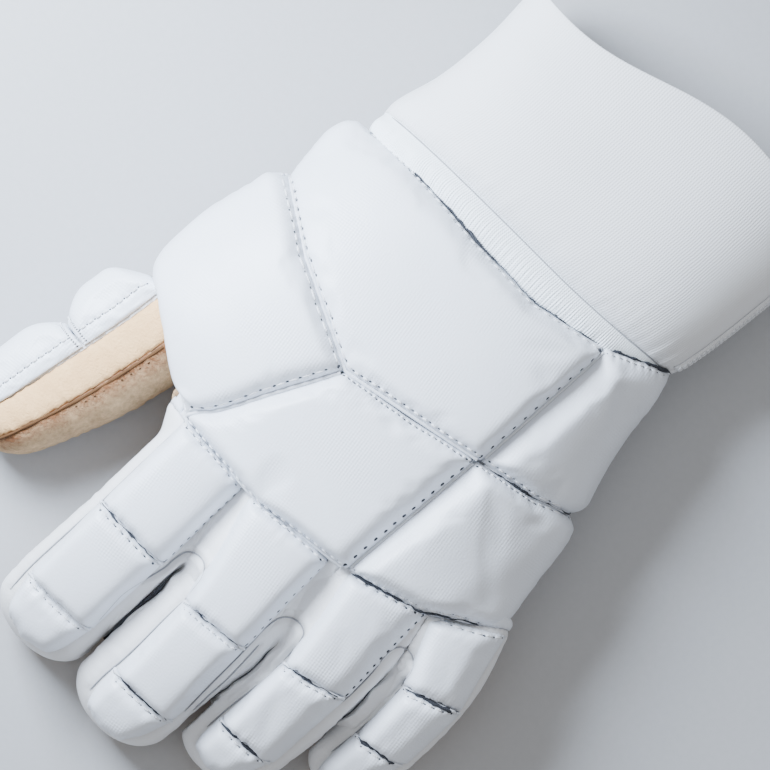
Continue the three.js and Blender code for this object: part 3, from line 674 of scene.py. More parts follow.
def angle_at(x, centre, half_width, half_height, squareness):
    share = (x - centre) / half_width
    if abs(share) <= 1:
        return math.degrees(math.acos(math.copysign(abs(share) ** (squareness / 2), share)))
    past = math.degrees((abs(share) - 1) * half_width / half_height)
    return -past if share > 0 else 180 + past


def on_hand(x, y):
    left, right = column(HAND, "left", y), column(HAND, "right", y)
    height = column(HAND, "top", y) - column(HAND, "floor", y)
    return angle_at(x, (left + right) / 2, (right - left) / 2, height / 2, HAND_SQUARENESS)


def on_finger(name):
    finger = FINGERS[name]

    def angle(x, y):
        centre, wide, tall = (column(finger, key, y) for key in ("x", "wide", "tall"))
        return angle_at(x, centre, wide, tall, FINGER_SQUARENESS)
    return angle


def distance_to(line, x, y):
    """Shortest way from a plan point to a line of stretches."""
    best = 1e9
    for (ax, ay), (bx, by) in zip(line, line[1:]):
        dx, dy = bx - ax, by - ay
        t = min(max(((x - ax) * dx + (y - ay) * dy) / (dx * dx + dy * dy), 0), 1)
        best = min(best, math.hypot(x - ax - t * dx, y - ay - t * dy))
    return best


def soft_min(a, b, width):
    """The smaller of two values, rounded where they cross."""
    h = max(width - abs(a - b), 0) / width
    return min(a, b) - h * h * width / 4


class Pad:
    """One pad: where a share of its plan lies, and how high its leather stands there."""

    def __init__(self, name):
        self.name = name
        self.is_thumb = name in THUMB_PADS
        self.arc = ARC_SHARE if self.is_thumb else 1
        if self.is_thumb:
            self.left, top, low, self.edges = THUMB_PADS[name]
            self.right = self.left
            a, b = (DEGREE * angle for angle in THUMB_PAD_ANGLES)
            self.far, self.near = [(a, top), (b, top)], [(a, low), (b, low)]
            self.surface = finger_surfaces["thumb"]
        else:
            on, self.left, self.right, self.far, self.near, self.edges = PADS[name]
            self.surface = hand_surface if on == "hand" else finger_surfaces[on]
            self.angle = on_hand if on == "hand" else on_finger(on)
        self.kind = "thumb" if self.is_thumb else "hand" if name.startswith("back") else "finger"
        self.sides = [self.far, self.near, [self.far[0], self.near[0]], [self.far[-1], self.near[-1]]]

    def plan(self, u, v):
        (ax, ay), (bx, by) = along_line(self.far, u), along_line(self.near, u)
        return ax + (bx - ax) * v, ay + (by - ay) * v

    def size(self):
        (ax, ay), (bx, by) = self.plan(0, 0.5), self.plan(1, 0.5)
        (cx, cy), (dx, dy) = self.plan(0.5, 0), self.plan(0.5, 1)
        return math.hypot(bx - ax, by - ay) * self.arc, math.hypot(dx - cx, dy - cy)

    def ways(self, u, v):
        """Distances from the four seams, in millimetres on the leather."""
        x, y = self.plan(u, v)
        return [distance_to(side, x, y) * (self.arc if i > 1 else 1) for i, side in enumerate(self.sides)]

    def swell(self, u, v):
        """How much further the pad stands out towards the hand's side."""
        high, side, wide, at, long = LOBES.get(self.name, NO_LOBE)
        return high * (1 - ease(abs(u - side) / wide)) * math.exp(-((v - at) / long) ** 2)

    def height(self, u, v):
        swell = self.swell(u, v)
        thick = self.left + (self.right - self.left) * u + swell
        high = thick
        for i, (way, (start, wide)) in enumerate(zip(self.ways(u, v), self.edges)):
            # A seam lies 1.5 mm or more below the pad's top, and the last millimetre before it turns in
            start = min(start + SEAM_SWELL * swell * (i < 2), thick - 1.5)
            slope = start + (thick - start) * way / wide - 0.5 * max(1 - way, 0) ** 2
            high = soft_min(high, slope, RIDGE[self.kind])
        return high

    def spot(self, u, v, height):
        x, y = self.plan(u, v)
        angle = x / DEGREE if self.is_thumb else self.angle(x, y)
        place = self.surface(angle, y) + normal_on(self.surface, angle, y) * height
        place.z = max(place.z, PAD_CLEARANCE)
        return place


pads = {name: Pad(name) for name in [*PADS, *THUMB_PADS]}
middle = pads["back_pad_wrist"].spot(0.5, 0.5, 10)
print(len(pads), "pads; the wrist pad's middle stands", round(middle.z), "mm up")

# %% [markdown]
# A pad's mesh is two grids: the leather on top and the underside on the skin, bridged round the rim. It
# starts a little short of its seams. Each corner keeps its two shares, and from them comes its distance to
# the nearest seam: for the cloth's pinned edge now and for the puckers later.

# %% Build the pads
PAD_STEP = 1.6
PAD_INSET = 0.15
UNDERSIDE = 0.15
PINNED_EDGE = 0.9


def build_pad(pad):
    wide, long = pad.size()
    inset_u, inset_v = PAD_INSET / wide, PAD_INSET / long
    shares = []

    def top(u, v):
        u, v = inset_u + u * (1 - 2 * inset_u), inset_v + v * (1 - 2 * inset_v)
        shares.append((u, v))
        return pad.spot(u, v, pad.height(u, v))

    bm = grid_mesh(max(12, round(wide / PAD_STEP)), max(10, round(long / PAD_STEP)), top)
    kept = bm.verts.layers.float_vector.new("share")
    for vert, (u, v) in zip(bm.verts, shares):
        vert[kept] = Vector((u, v, 1))
    copy = bmesh.ops.duplicate(bm, geom=bm.verts[:] + bm.edges[:] + bm.faces[:])["geom"]
    for vert in [g for g in copy if isinstance(g, bmesh.types.BMVert)]:
        u, v, _ = vert[kept]
        vert.co = pad.spot(u, v, UNDERSIDE)
        vert[kept] = Vector((u, v, 0))
    bmesh.ops.bridge_loops(bm, edges=[e for e in bm.edges if e.is_boundary])
    bmesh.ops.recalc_face_normals(bm, faces=bm.faces)
    obj = object_of(bm, pad.name + "_leather")
    sewn = obj.vertex_groups.new(name="sewn")
    for vert, share in zip(obj.data.vertices, obj.data.attributes["share"].data):
        u, v, is_top = share.vector
        held = is_top < 0.5 or min(pad.ways(u, v)) < PINNED_EDGE
        sewn.add([vert.index], 1.0 if held else 0.0, "REPLACE")
    return in_frame(obj)


pad_objects = {name: build_pad(pad) for name, pad in pads.items()}
print("pads:", triangles(pad_objects.values()), "triangles before the cloth")

# %% [markdown]
# Foam presses the leather outwards, and the thread holds it in. A short cloth simulation does the same: the
# underside and the rim are pinned, a gentle pressure fills the pad, and the cloth may grow by a hundredth,
# so that it gives a little beside the seams. All the pads share one run of twenty frames, and a cap keeps
# each corner within 0.6 mm of where it was drawn.

# %% Fill the pads
MOST_FILL_MM = 0.6
FRAMES = 20


def start_filling(obj):
    cloth = obj.modifiers.new("foam filling", "CLOTH")
    cloth.settings.vertex_group_mass = "sewn"
    cloth.settings.use_pressure = True
    cloth.settings.uniform_pressure_force = 4
    cloth.settings.shrink_min = -0.012
    cloth.settings.tension_stiffness = 20
    cloth.settings.compression_stiffness = 20
    cloth.settings.bending_stiffness = 1.0
    cloth.settings.effector_weights.gravity = 0
    cloth.settings.quality = 5


def cap_moves(obj, rest, most):
    for vert, start in zip(obj.data.vertices, rest):
        move = vert.co - start
        if move.length > most:
            vert.co = start + move * (most / move.length)


rest = {name: [v.co.copy() for v in obj.data.vertices] for name, obj in pad_objects.items()}
for obj in pad_objects.values():
    start_filling(obj)
for number in range(1, FRAMES + 1):
    scene.frame_set(number)
for name, obj in pad_objects.items():
    applied(obj)
    cap_moves(obj, rest[name], MOST_FILL_MM / 1000)
scene.frame_set(1)
for obj in pad_objects.values():
    obj.modifiers.new("finer", "SUBSURF").levels = 1
    obj.modifiers["finer"].render_levels = 1
    applied(obj)
print("pads:", triangles(pad_objects.values()), "triangles after the cloth")

# %% [markdown]
# Where a needle draws leather down, the surplus gathers in short wrinkles that run away from the seam. They
# are strongest across the fingers, and between the two pads of the thumb. One fold runs down the pad on the
# little-finger side. Wrinkles and fold are small moves of the finished leather along its own normals.

# %% Puckers beside the cross seams, and one fold
PUCKER = {"hand": 0.35, "finger": 1.0, "thumb": 0.8}
PUCKER_REACH = 3.0
FOLD = {"pad": "back_pad_side_lower", "line": [(78, 10), (70, -36)], "deep": 0.45, "wide": 5}


def pucker_at(pad, u, v, strength, seed):
    x, y = pad.plan(u, v)
    way = min(pad.ways(u, v)[:2])
    along = x * pad.arc * 0.62
    # Short ripples run along the seam, in patches, and fade away from it
    ripple = wander(along, seed, y * 0.05) + 0.5 * wander(along * 2.1, seed + 5, 0.3)
    patch = 0.55 + 0.9 * wander(along * 0.16, seed, 3.3)
    return strength * ripple * max(patch, 0) * math.exp(-way / PUCKER_REACH)


for seed, (name, obj) in enumerate(pad_objects.items()):
    pad = pads[name]
    normals = [v.normal.copy() for v in obj.data.vertices]
    for vert, share, normal in zip(obj.data.vertices, obj.data.attributes["share"].data, normals):
        u, v, is_top = share.vector
        if is_top < 0.99:
            continue
        move = pucker_at(pad, u, v, PUCKER[pad.kind], seed * 7.3)
        if name == FOLD["pad"]:
            # The fold is a valley with a lower crest on each side
            way = distance_to(FOLD["line"], *pad.plan(u, v)) / FOLD["wide"]
            move -= FOLD["deep"] * (math.exp(-way * way) - 0.6 * math.exp(-((way - 1.5) ** 2)))
        vert.co += normal * (move / 1000)
    obj.data.update()
print("puckered", len(pad_objects), "pads")

# %% [markdown]
# Between two fingers the leather is a narrow gusset, folded down the middle. At the root it is a web that
# nearly reaches the fingers' backs and climbs towards the next pad; farther out it sinks, and a slit opens
# along its fold. Each web is a grid hung between two fingers, with its columns closest beside the slit.

# %% The webs between the fingers
# The y where each web starts, where its slit opens and where it ends, how far it sinks, how deep its slit
# is, and the plan line of its fold
WEBS = {
    "web_index_middle": {
        "between": ("index", "middle"), "start": -56, "opens": -90, "end": -132, "hollow": 6, "slit": 8,
        "fold": [(-9, -56), (-8.8, -78), (-5.4, -90), (-6, -104), (-6.2, -116), (-7.5, -134)],
    },
    "web_middle_ring": {
        "between": ("middle", "ring"), "start": -50, "opens": -84, "end": -121, "hollow": 5, "slit": 3,
        "fold": [(30.2, -50), (30.8, -70), (35.4, -83), (36.7, -96), (35, -112), (32.8, -125)],
    },
    "web_ring_little": {
        "between": ("ring", "pinky"), "start": -42, "opens": -65, "end": -98, "hollow": 5, "slit": 3,
        "fold": [(65.9, -42), (66.6, -54), (70, -64), (71, -85), (70.6, -100)],
    },
}
# How far from its two fingers' centre lines a web starts, as a share of their half width
WEB_REACHES = (0.78, -0.62)
WEB_SINK, WEB_WALL, WEB_RISE = 0.5, 1.2, 6.0
WEB_COLUMNS, WEB_STEP, SLIT_WIDE = 40, 1.1, 0.75


def skin_height(name, x, y):
    return finger_surfaces[name](on_finger(name)(x, y), y).z


def web_place(web, u, v, with_slit=True):
    """A web's surface; u runs from one finger to the other, v outwards."""
    start, opens, end = web["start"], web["opens"], web["end"]
    y = start + (end - start) * v
    # The slit opens over 5 mm, and it and the fold waver a little
    opened = ease((opens - y) / 5)
    waver = wander(y * 0.17, start, 0.5)
    fold_x = level(crosswise(web["fold"]), y) + 0.8 * waver * opened
    anchors = [column(FINGERS[name], "x", y) + reach * column(FINGERS[name], "wide", y)
               for name, reach in zip(web["between"], WEB_REACHES)]
    tops = [skin_height(name, x, y) - WEB_SINK for name, x in zip(web["between"], anchors)]
    # Near the root the web climbs to the second finger; that ends over 9 mm where the slit opens
    rise = WEB_RISE * (1 - ease((opens + 4 - y) / 9))
    bottom = sum(tops) / 2 - 1 + 0.3 * rise - (web["hollow"] - 1) * ease(v)
    side = int(u >= 0.5)
    share = abs(2 * u - 1) ** 1.5
    x = fold_x + (anchors[side] - fold_x) * share
    z = bottom + (tops[side] + rise * side - bottom) * share ** (1.5 - 0.4 * side)
    # The rims tuck in under the fingers' backs, and the last 9 mm dive down by 10 mm
    z -= 0.9 * max(share - 0.85, 0) / 0.15 + 10 * ease((end + 9 - y) / 9) ** 2
    wide = SLIT_WIDE * (1 + 0.7 * waver)
    return Vector((x, y, z - web["slit"] * opened * math.exp(-((x - fold_x) / wide) ** 2) * with_slit))


def build_web(name, web):
    rows = round((web["start"] - web["end"]) / WEB_STEP)
    bm = grid_mesh(WEB_COLUMNS, rows, lambda u, v: web_place(web, u, v))
    bmesh.ops.recalc_face_normals(bm, faces=bm.faces)
    if sum(face.normal.z for face in bm.faces) < 0:
        bmesh.ops.reverse_faces(bm, faces=bm.faces)
    return in_frame(object_of(bm, name))


web_objects = {name: build_web(name, web) for name, web in WEBS.items()}
print("webs:", triangles(web_objects.values()), "triangles")

# %% [markdown]
# The cuff is a doubled tube of wide elastic, sewn from a back and an under piece. Its wall is drawn as one
# loop: up the outside, over the rim, down the lining and closed at the base. A grid sweeps that loop round
# the wrist. The rim rises and falls in one slow wave, and the base puckers where the ribbed band grips it.

# %% The cuff
CUFF_WALL = 2.4
CUFF_TOP, CUFF_BASE = 138.7, 68.0
RUFFLE = {"height": 6.8, "length": 130, "crest": 27, "under_shift": 12, "under_back": 3}
TAPE_ANGLE = 13
# Steps of the wall's section up the outside, over the rim and down the inside, and how round the rim is
OUT_STEPS, RIM_STEPS, IN_STEPS = 44, 8, 14
RIM_ROUND = 0.008
BASE_PUCKER, SLACK = 0.5, 0.8


def rim_rise(x, angle):
    """How far the rim runs out past its mean line."""
    under = ease(0.5 - 3 * math.sin(math.radians(angle)))
    wave = math.cos(2 * math.pi * (x - RUFFLE["crest"] - RUFFLE["under_shift"] * under) / RUFFLE["length"])
    return RUFFLE["height"] * wave - RUFFLE["under_back"] * under


def cuff_loop():
    """The wall's section: pairs of a share up the cuff and a depth into its wall."""
    outside = [(i / OUT_STEPS, 0.0) for i in range(OUT_STEPS)]
    turns = [math.pi * i / RIM_STEPS for i in range(RIM_STEPS + 1)]
    rim = [(1 - RIM_ROUND * (1 - math.sin(turn)) + RIM_ROUND, CUFF_WALL * (1 - math.cos(turn)) / 2)
           for turn in turns]
    inside = [(1 - i / IN_STEPS, CUFF_WALL) for i in range(1, IN_STEPS + 1)]
    return outside + rim + inside


def cuff_place(angle, share, depth):
    y = CUFF_BASE + (CUFF_TOP - CUFF_BASE) * share
    point = cuff_surface(angle, y, -depth)
    point.y += rim_rise(point.x, angle) * ease(share) ** 1.5
    # The gathers at the base fade over the cuff's first quarter, and slack waves run over all of it
    near_base = math.exp(-share * 9)
    pucker = wander(angle * 0.16, 4.2, share * 3) + 0.5 * wander(angle * 0.4, 9, share * 6)
    slack = wander(angle * 0.022, share * 2.2, 1.7)
    move = outward(angle) * (BASE_PUCKER * pucker * near_base + SLACK * slack)
    if point.z + move.z > 0.2:
        point += move
    return point


def swept_wall(name, start, end, loop, place, steps):
    """A wall whose section loop is swept from one angle to another, with a UV of decimetres round and up."""
    closed = loop + [loop[0]]
    last = len(closed) - 1
    bm = grid_mesh(steps, last, lambda u, v: Vector((u, v, 0)))
    ways = bm.loops.layers.uv.new("cloth")
    middle = [place(start + (end - start) * i / steps, 0.5, 0.0) for i in range(steps + 1)]
    run = [0.0]
    for a, b in zip(middle, middle[1:]):
        run.append(run[-1] + (b - a).length)
    up = [place(start, share, depth).y for share, depth in closed]
    for face in bm.faces:
        for corner in face.loops:
            u, v = corner.vert.co.x, corner.vert.co.y
            corner[ways].uv = (run[round(u * steps)] / 100, up[round(v * last)] / 100)
    for vert in bm.verts:
        share, depth = closed[round(vert.co.y * last)]
        vert.co = place(start + (end - start) * vert.co.x, share, depth)
    close_up(bm, 0.001)
    return in_frame(object_of(bm, name))


SEAM_GAP_DEGREES = 0.15
BACK_STEPS, UNDER_STEPS = 180, 200
cuff_back = swept_wall("cuff_back_elastic", TAPE_ANGLE, 180 - TAPE_ANGLE, cuff_loop(), cuff_place, BACK_STEPS)
cuff_under = swept_wall("cuff_under_elastic", 180 - TAPE_ANGLE + SEAM_GAP_DEGREES,
                        360 + TAPE_ANGLE - SEAM_GAP_DEGREES, cuff_loop(), cuff_place, UNDER_STEPS)
print("cuff:", triangles([cuff_back, cuff_under]), "triangles")

# %% [markdown]
# The band is a ribbed elastic tape that gathers the wrist. Its ribs are real ridges here, about a millimetre
# apart, because they show along its edge. Its lower edge is drawn in by the stitches, so it runs in small
# waves.

# %% The ribbed band
BAND_WALL = 2.6
BAND_LOW, BAND_HIGH = 57.9, 68.4
BAND_STEPS = 12
RIBS, RIB_HEIGHT, STEPS_A_RIB = 330, 0.15, 4
# The pads' seam to the band, where it is straight
BAND_SEAM_Y = 57


def band_loop():
    outside = [(i / BAND_STEPS, 0.0) for i in range(BAND_STEPS + 1)]
    return outside + [(1.0, BAND_WALL), (0.5, BAND_WALL), (0.0, BAND_WALL)]


def band_place(angle, share, depth):
    y = BAND_LOW + (BAND_HIGH - BAND_LOW) * share
    point = band_surface(angle, y, -depth)
    if depth:
        return point
    # The ribs are lower at the two edges; the band bulges on top, and waves and ruffles at its lower edge
    upward = math.sin(math.radians(angle))
    turns = angle / 360
    rib = RIB_HEIGHT * math.cos(2 * math.pi * RIBS * turns)
    bulge = 1.1 * math.sin(math.pi * min(share + 0.12, 1)) * max(upward, 0.1)
    wave = wander(angle * 0.19, 2.5, 0.5)
    ruffle = wander(angle * 0.9, 6.5, 0.5)
    seam = level(SEAMS["band"], point.x) if upward > 0.3 else BAND_LOW
    drawn_in = min(seam - BAND_SEAM_Y, 0) * (1 - share) ** 2
    point.y += 0.5 * wave * (1 - share) + 0.35 * ruffle * max(1 - share * 4, 0) + drawn_in
    ridge = rib * math.sin(math.pi * min(share * 1.3 + 0.12, 0.98))
    move = normal_on(band_surface, angle, y) * (ridge + bulge)
    if point.z + move.z > 0.1:
        point += move
    return point


band = swept_wall("wrist_band_elastic", 0, 360, band_loop(), band_place, RIBS * STEPS_A_RIB)
print("band:", triangles([band]), "triangles")

# %% [markdown]
# A narrow tape covers the cuff's side seam. It is a strip with two rounded ridges, bent over the cuff, and
# an overlock of slanting stitches runs along both ridges.

# %% The tape on the cuff's side
TAPE = {"wide": 4.4, "low": 0.03, "high": 0.92, "lift": 0.4, "ridge": 0.95, "thick": 0.9}
TAPE_STEPS = (12, 60)
SAMPLE_DEGREES = 4


def degrees_for(length, share):
    """How many degrees round the cuff make up a length on its surface."""
    a, b = (cuff_place(TAPE_ANGLE + turn, share, 0) for turn in (0, SAMPLE_DEGREES))
    return SAMPLE_DEGREES * length / (b - a).length


def tape_place(u, v):
    share = TAPE["low"] + (TAPE["high"] - TAPE["low"]) * v
    rise = TAPE["lift"] + TAPE["ridge"] * abs(math.sin(2 * math.pi * u)) ** 0.7
    angle = TAPE_ANGLE + degrees_for(TAPE["wide"], share) * (u - 0.5)
    return cuff_place(angle, share, -rise)


tape_bm = grid_mesh(*TAPE_STEPS, tape_place)
bmesh.ops.recalc_face_normals(tape_bm, faces=tape_bm.faces)
tape = object_of(tape_bm, "cuff_tape")
if tape.data.polygons[0].normal.x < 0:
    tape.data.flip_normals()
tape.modifiers.new("tape thickness", "SOLIDIFY").thickness = TAPE["thick"]
tape.modifiers["tape thickness"].offset = -1
in_frame(applied(tape))
print("tape:", triangles([tape]), "triangles")

# %% [markdown]
# Seams are what make a glove read as sewn. A row of stitches follows a pad's edge at a fixed inset: between
# two needle holes lies one short thread, and the leather dips round each hole. The rows are listed by pad
# and edge, and each point is dropped to the nearest place on the finished pad.

# %% Where the stitches go
# (pad, edge, inset from the seam, pitch, size of the holes, size of the threads, 0 where they are hidden)
STITCH_ROWS = [
    ("back_pad_wrist", "near", 1.3, 3.0, 1.35, 1.4), ("back_pad_thumb_side", "far", 1.2, 3.3, 1.4, 1.3),
    ("back_pad_middle", "far", 1.2, 2.7, 1.2, 1.2), ("back_pad_side_upper", "near", 1.3, 2.7, 1.35, 1.2),
    ("back_pad_side_lower", "far", 1.2, 2.7, 1.35, 1.2), ("back_pad_wrist", "right", 1.4, 4.6, 2.0, 0),
    ("back_pad_wrist", "far", 1.2, 3.2, 0.8, 0.9), ("back_pad_side_upper", "far", 1.2, 3.2, 0.8, 0.9),
    ("back_pad_middle", "right", 1.4, 4.2, 2.0, 0), ("back_pad_thumb_side", "right", 1.2, 4.4, 1.7, 1.1),
    ("back_pad_middle", "near", 1.2, 2.9, 1.2, 1.2), ("back_pad_thumb_side", "near", 1.3, 3.2, 0.8, 0.9),
    ("back_pad_side_lower", "near", 1.2, 3.4, 0.85, 1.0),
    ("index_pad_1", "right", 1.3, 3.8, 2.0, 0), ("middle_pad_1", "right", 1.3, 4.0, 1.7, 0),
    ("ring_pad_1", "right", 1.3, 3.4, 1.6, 0),
    ("index_pad_1", "far", 1.2, 2.9, 1.2, 1.3), ("middle_pad_1", "far", 1.2, 2.7, 1.2, 1.3),
    ("ring_pad_1", "far", 1.2, 2.9, 1.2, 1.2), ("pinky_pad_1", "far", 1.2, 2.9, 1.1, 1.2),
    ("index_pad_2", "far", 1.1, 3.1, 1.3, 1.2), ("index_pad_3", "far", 1.1, 3.1, 0.75, 1.0),
    ("middle_pad_2", "far", 1.1, 2.3, 0.75, 1.0), ("middle_pad_3", "far", 1.1, 3.1, 0.8, 1.1),
    ("ring_pad_2", "far", 1.1, 2.6, 0.85, 1.1), ("ring_pad_3", "far", 1.1, 2.9, 0.85, 1.1),
    ("pinky_pad_2", "far", 1.1, 2.6, 0.85, 1.1), ("pinky_pad_3", "far", 1.1, 2.9, 0.85, 1.1),
    ("thumb_pad_1", "left", 13, 3.0, 0.75, 1.3), ("thumb_pad_2", "left", 13, 3.0, 0.75, 1.3),
    ("thumb_pad_1", "near", 1.8, 2.6, 0.75, 0.9), ("thumb_pad_2", "far", 1.8, 2.6, 0.75, 0.9),
]
ROW_TRIM = 2.5
HOLE_RADIUS, HOLE_DEPTH = 0.42, 0.5
THREAD_RADIUS = 0.4


def surface_tree(obj):
    return BVHTree.FromPolygons([v.co for v in obj.data.vertices], [p.vertices for p in obj.data.polygons])


def pad_row(pad, edge, inset, pitch, trim=0.0):
    """Shares (u, v) at an even pitch along one edge of a pad, trimmed at its ends."""
    wide, long = pad.size()
    crosses = edge in ("far", "near")
    length, other = (wide, long) if crosses else (long, wide)
    count = max(2, round((length - 2 * trim) / pitch))
    across = inset / other if edge in ("far", "left") else 1 - inset / other
    steps = [trim / length + (1 - 2 * trim / length) * i / count for i in range(count + 1)]
    return [(step, across) if crosses else (across, step) for step in steps]


pad_trees = {name: surface_tree(obj) for name, obj in pad_objects.items()}
rows = []
for name, edge, inset, pitch, hole_size, thread_size in STITCH_ROWS:
    pad = pads[name]
    row = []
    for u, v in pad_row(pad, edge, inset, pitch, min(inset, ROW_TRIM)):
        place, normal, _, _ = pad_trees[name].find_nearest(TO_FRAME @ pad.spot(u, v, pad.height(u, v)))
        row.append((place, normal))
    rows.append((row, hole_size, thread_size))
print(len(rows), "rows with", sum(len(row[0]) for row in rows), "needle holes")

# %% [markdown]
# Other seams don't follow a pad. The curved seams round the webs between the fingers and the seams of the
# side gussets are drawn as plan lines, smoothed, and dropped straight down on the glove, because the
# photograph shows them from above. The thumb's long seam runs at one angle round it. Each becomes a thin cord
# sunk in a groove.

# %% Seam lines drawn on the plan
PLAN_SEAMS = {
    "web_index_middle": [
        (-12.4, -129), (-12.6, -123), (-12.8, -114), (-11.4, -106.4), (-9.3, -97.7), (-9.0, -93.2),
        (-7.8, -88.3), (-4.2, -85.9), (-0.5, -86.3), (2.2, -89.8), (3.0, -95.0), (3.2, -99.8),
    ],
    "web_middle_ring": [
        (30.6, -128.3), (30.4, -120.8), (30.3, -113.0), (30.2, -100.4), (29.9, -93.2), (29.8, -87.1),
        (30.6, -82.0), (32.5, -79.3), (35.8, -77.8), (39.0, -78.4), (40.6, -80.5), (41.6, -86.5),
        (41.8, -91),
    ],
    "web_ring_little": [
        (66.3, -86.5), (66.4, -79.3), (66.2, -72.1), (65.3, -66.1), (65.4, -61.9), (67.0, -59.2),
        (70.3, -58.3), (73.4, -59.8), (75.2, -62.5), (76.0, -66.4), (76.6, -69),
    ],
    "gusset_index": [(-39.0, -60), (-39.9, -72), (-40.3, -84), (-40.6, -95), (-41.4, -108), (-42.2, -120),
                     (-42.8, -131), (-42.6, -142)],
    "gusset_middle": [(3.3, -101), (3.0, -111), (3.0, -121), (2.6, -131), (1.8, -139), (1.8, -147)],
    "gusset_ring": [(41.9, -92), (41.8, -99), (41.3, -106), (40.5, -113), (40.0, -119), (39.6, -127)],
    "gusset_little": [(77.0, -70), (77.6, -78), (77.7, -86), (77.3, -94), (76.4, -103)],
    "second_middle": [(32.4, -93), (32.8, -101), (33.0, -110), (32.6, -118), (32.4, -126)],
}
LINE_STEP = 0.7
LINE_RADIUS = 0.27
# In metres: how high the points are dropped from, and the most that a line may jump in height
SKY = 0.2
MOST_JUMP = 0.0035


def smooth_line(points, step):
    """Points at an even step on a curve through the given ones."""
    vectors = [Vector(p) for p in points]
    ends = [2 * vectors[0] - vectors[1]] + vectors + [2 * vectors[-1] - vectors[-2]]
    result = []
    for a, b, c, d in zip(ends, ends[1:], ends[2:], ends[3:]):
        count = max(1, round((c - b).length / step))
        for i in range(count):
            t = i / count
            result.append(0.5 * (2 * b + (c - a) * t + (2 * a - 5 * b + 4 * c - d) * t * t
                                 + (3 * b - a - 3 * c + d) * t * t * t))
    return result + [vectors[-1]]


white_names = [n for n in panel_objects if n.endswith("_back_panel") or n.startswith("hand_side")]
top_trees = list(pad_trees.values()) + [surface_tree(panel_objects[n]) for n in white_names]
top_trees += [surface_tree(web) for web in web_objects.values()]


def dropped(points, trees):
    """Where plan points land on the glove from straight above, with the surface's normals."""
    landed = []
    for x, y in points:
        start = TO_FRAME @ Vector((x, y, 0))
        start.z = SKY
        hits = [hit for hit in (tree.ray_cast(start, Vector((0, 0, -1))) for tree in trees) if hit[0]]
        if hits:
            place, normal, _, _ = max(hits, key=lambda hit: hit[0].z)
            landed.append((place, normal))
    return landed


def thinned(line):
    """Drops points that jump off the run of a line, where it crosses a pad's rim."""
    kept = [line[0]]
    for place, normal in line[1:]:
        if abs(place.z - kept[-1][0].z) < MOST_JUMP:
            kept.append((place, normal))
    return kept


plan_seams = {name: thinned(dropped(smooth_line(points, LINE_STEP), top_trees))
              for name, points in PLAN_SEAMS.items()}
thumb_surface = finger_surfaces["thumb"]


def thumb_line(angle, first, last, grow, step=LINE_STEP):
    """Places along the thumb at one angle round it."""
    count = round((first - last) / step)
    stations = [first + (last - first) * i / count for i in range(count + 1)]
    return [(TO_FRAME @ thumb_surface(angle, y, grow), normal_on(thumb_surface, angle, y)) for y in stations]


THUMB_SEAM = {"first": -44.5, "last": -108, "grow": -0.35}
thumb_seam = thumb_line(THUMB_SEAMS[0], **THUMB_SEAM)
print("plan seams:", {name: len(line) for name, line in plan_seams.items()})

# %% [markdown]
# The leather now dips round each needle hole and along each drawn seam. A k-d tree finds how near the next
# hole or line is, which is quick for many thousands of corners. A welt stands up inside the curved seams of
# the webs. The panels get their inner side only after this, so that the inside stays smooth.

# %% Press the stitches into the leather
HOLE_DIP = {"deep": HOLE_DEPTH, "wide": 1.0}
GROOVE = {"deep": 0.5, "wide": 1.1}
WELT = {"deep": -0.6, "wide": 1.0, "offset": 2.1}


def tree_of(places):
    tree = KDTree(len(places))
    for number, place in enumerate(places):
        tree.insert(place, number)
    tree.balance()
    return tree


hole_tree = tree_of([place for row in rows for place, _ in row[0]])
line_tree = tree_of([place for line in plan_seams.values() for place, _ in line])


def press(obj, tree, deep, wide, offset=0.0):
    normals = [v.normal.copy() for v in obj.data.vertices]
    for vert, normal in zip(obj.data.vertices, normals):
        away = tree.find(vert.co)[2] * 1000
        if away < 3 * wide + offset:
            vert.co -= normal * (deep * math.exp(-((away - offset) / wide) ** 2) / 1000)
    obj.data.update()


for obj in pad_objects.values():
    press(obj, hole_tree, **HOLE_DIP)
for name in white_names:
    press(panel_objects[name], line_tree, **GROOVE)
for web in web_objects.values():
    press(web, line_tree, **GROOVE)
    press(web, line_tree, **WELT)
for obj in [*panel_objects.values(), *web_objects.values()]:
    wall = obj.modifiers.new("leather thickness", "SOLIDIFY")
    wall.thickness = (WEB_WALL if obj.name in web_objects else LEATHER) / 1000
    wall.offset = -1
    applied(obj)
print("panels:", triangles(panel_objects.values()), "triangles")

# %% [markdown]
# A thread is a long ball between two holes, half sunk in the leather, and a hole is a small dome painted dark,
# for the shade inside the hole. Both are repeated hundreds of times, so each has only a few dozen faces. All
# the white threads are one piece, and so are all the holes in white leather.

# %% Threads and needle holes
THREAD_SIDES, HOLE_SIDES, HOLE_RINGS = 6, 8, 4
# How far a thread's ends keep from its two holes
THREAD_GAP = 0.55


def turned_to(along, normal):
    """A rotation whose x runs along a direction and whose z is as near the normal as it can be."""
    x = along.normalized()
    y = normal.cross(x).normalized()
    return Matrix((x, y, x.cross(y))).transposed().to_4x4()


def add_ball(bm, place, along, normal, size, sides, rings):
    """A ball stretched along x, y and z, with its x along the seam and its z along the normal."""
    turn = Matrix.Translation(place) @ turned_to(along, normal)
    bmesh.ops.create_uvsphere(bm, u_segments=sides, v_segments=rings, radius=1,
                              matrix=turn @ Matrix.Diagonal((*size, 1)))


def add_thread(bm, start, end, normal, radius, gap=THREAD_GAP):
    along = end - start
    half = max(along.length / 2 - gap / 1000, radius / 1000)
    place = (start + end) / 2 + normal * (0.12 * radius / 1000)
    size = (half, radius / 1000, 0.7 * radius / 1000)
    add_ball(bm, place, along, normal, size, THREAD_SIDES, THREAD_SIDES)


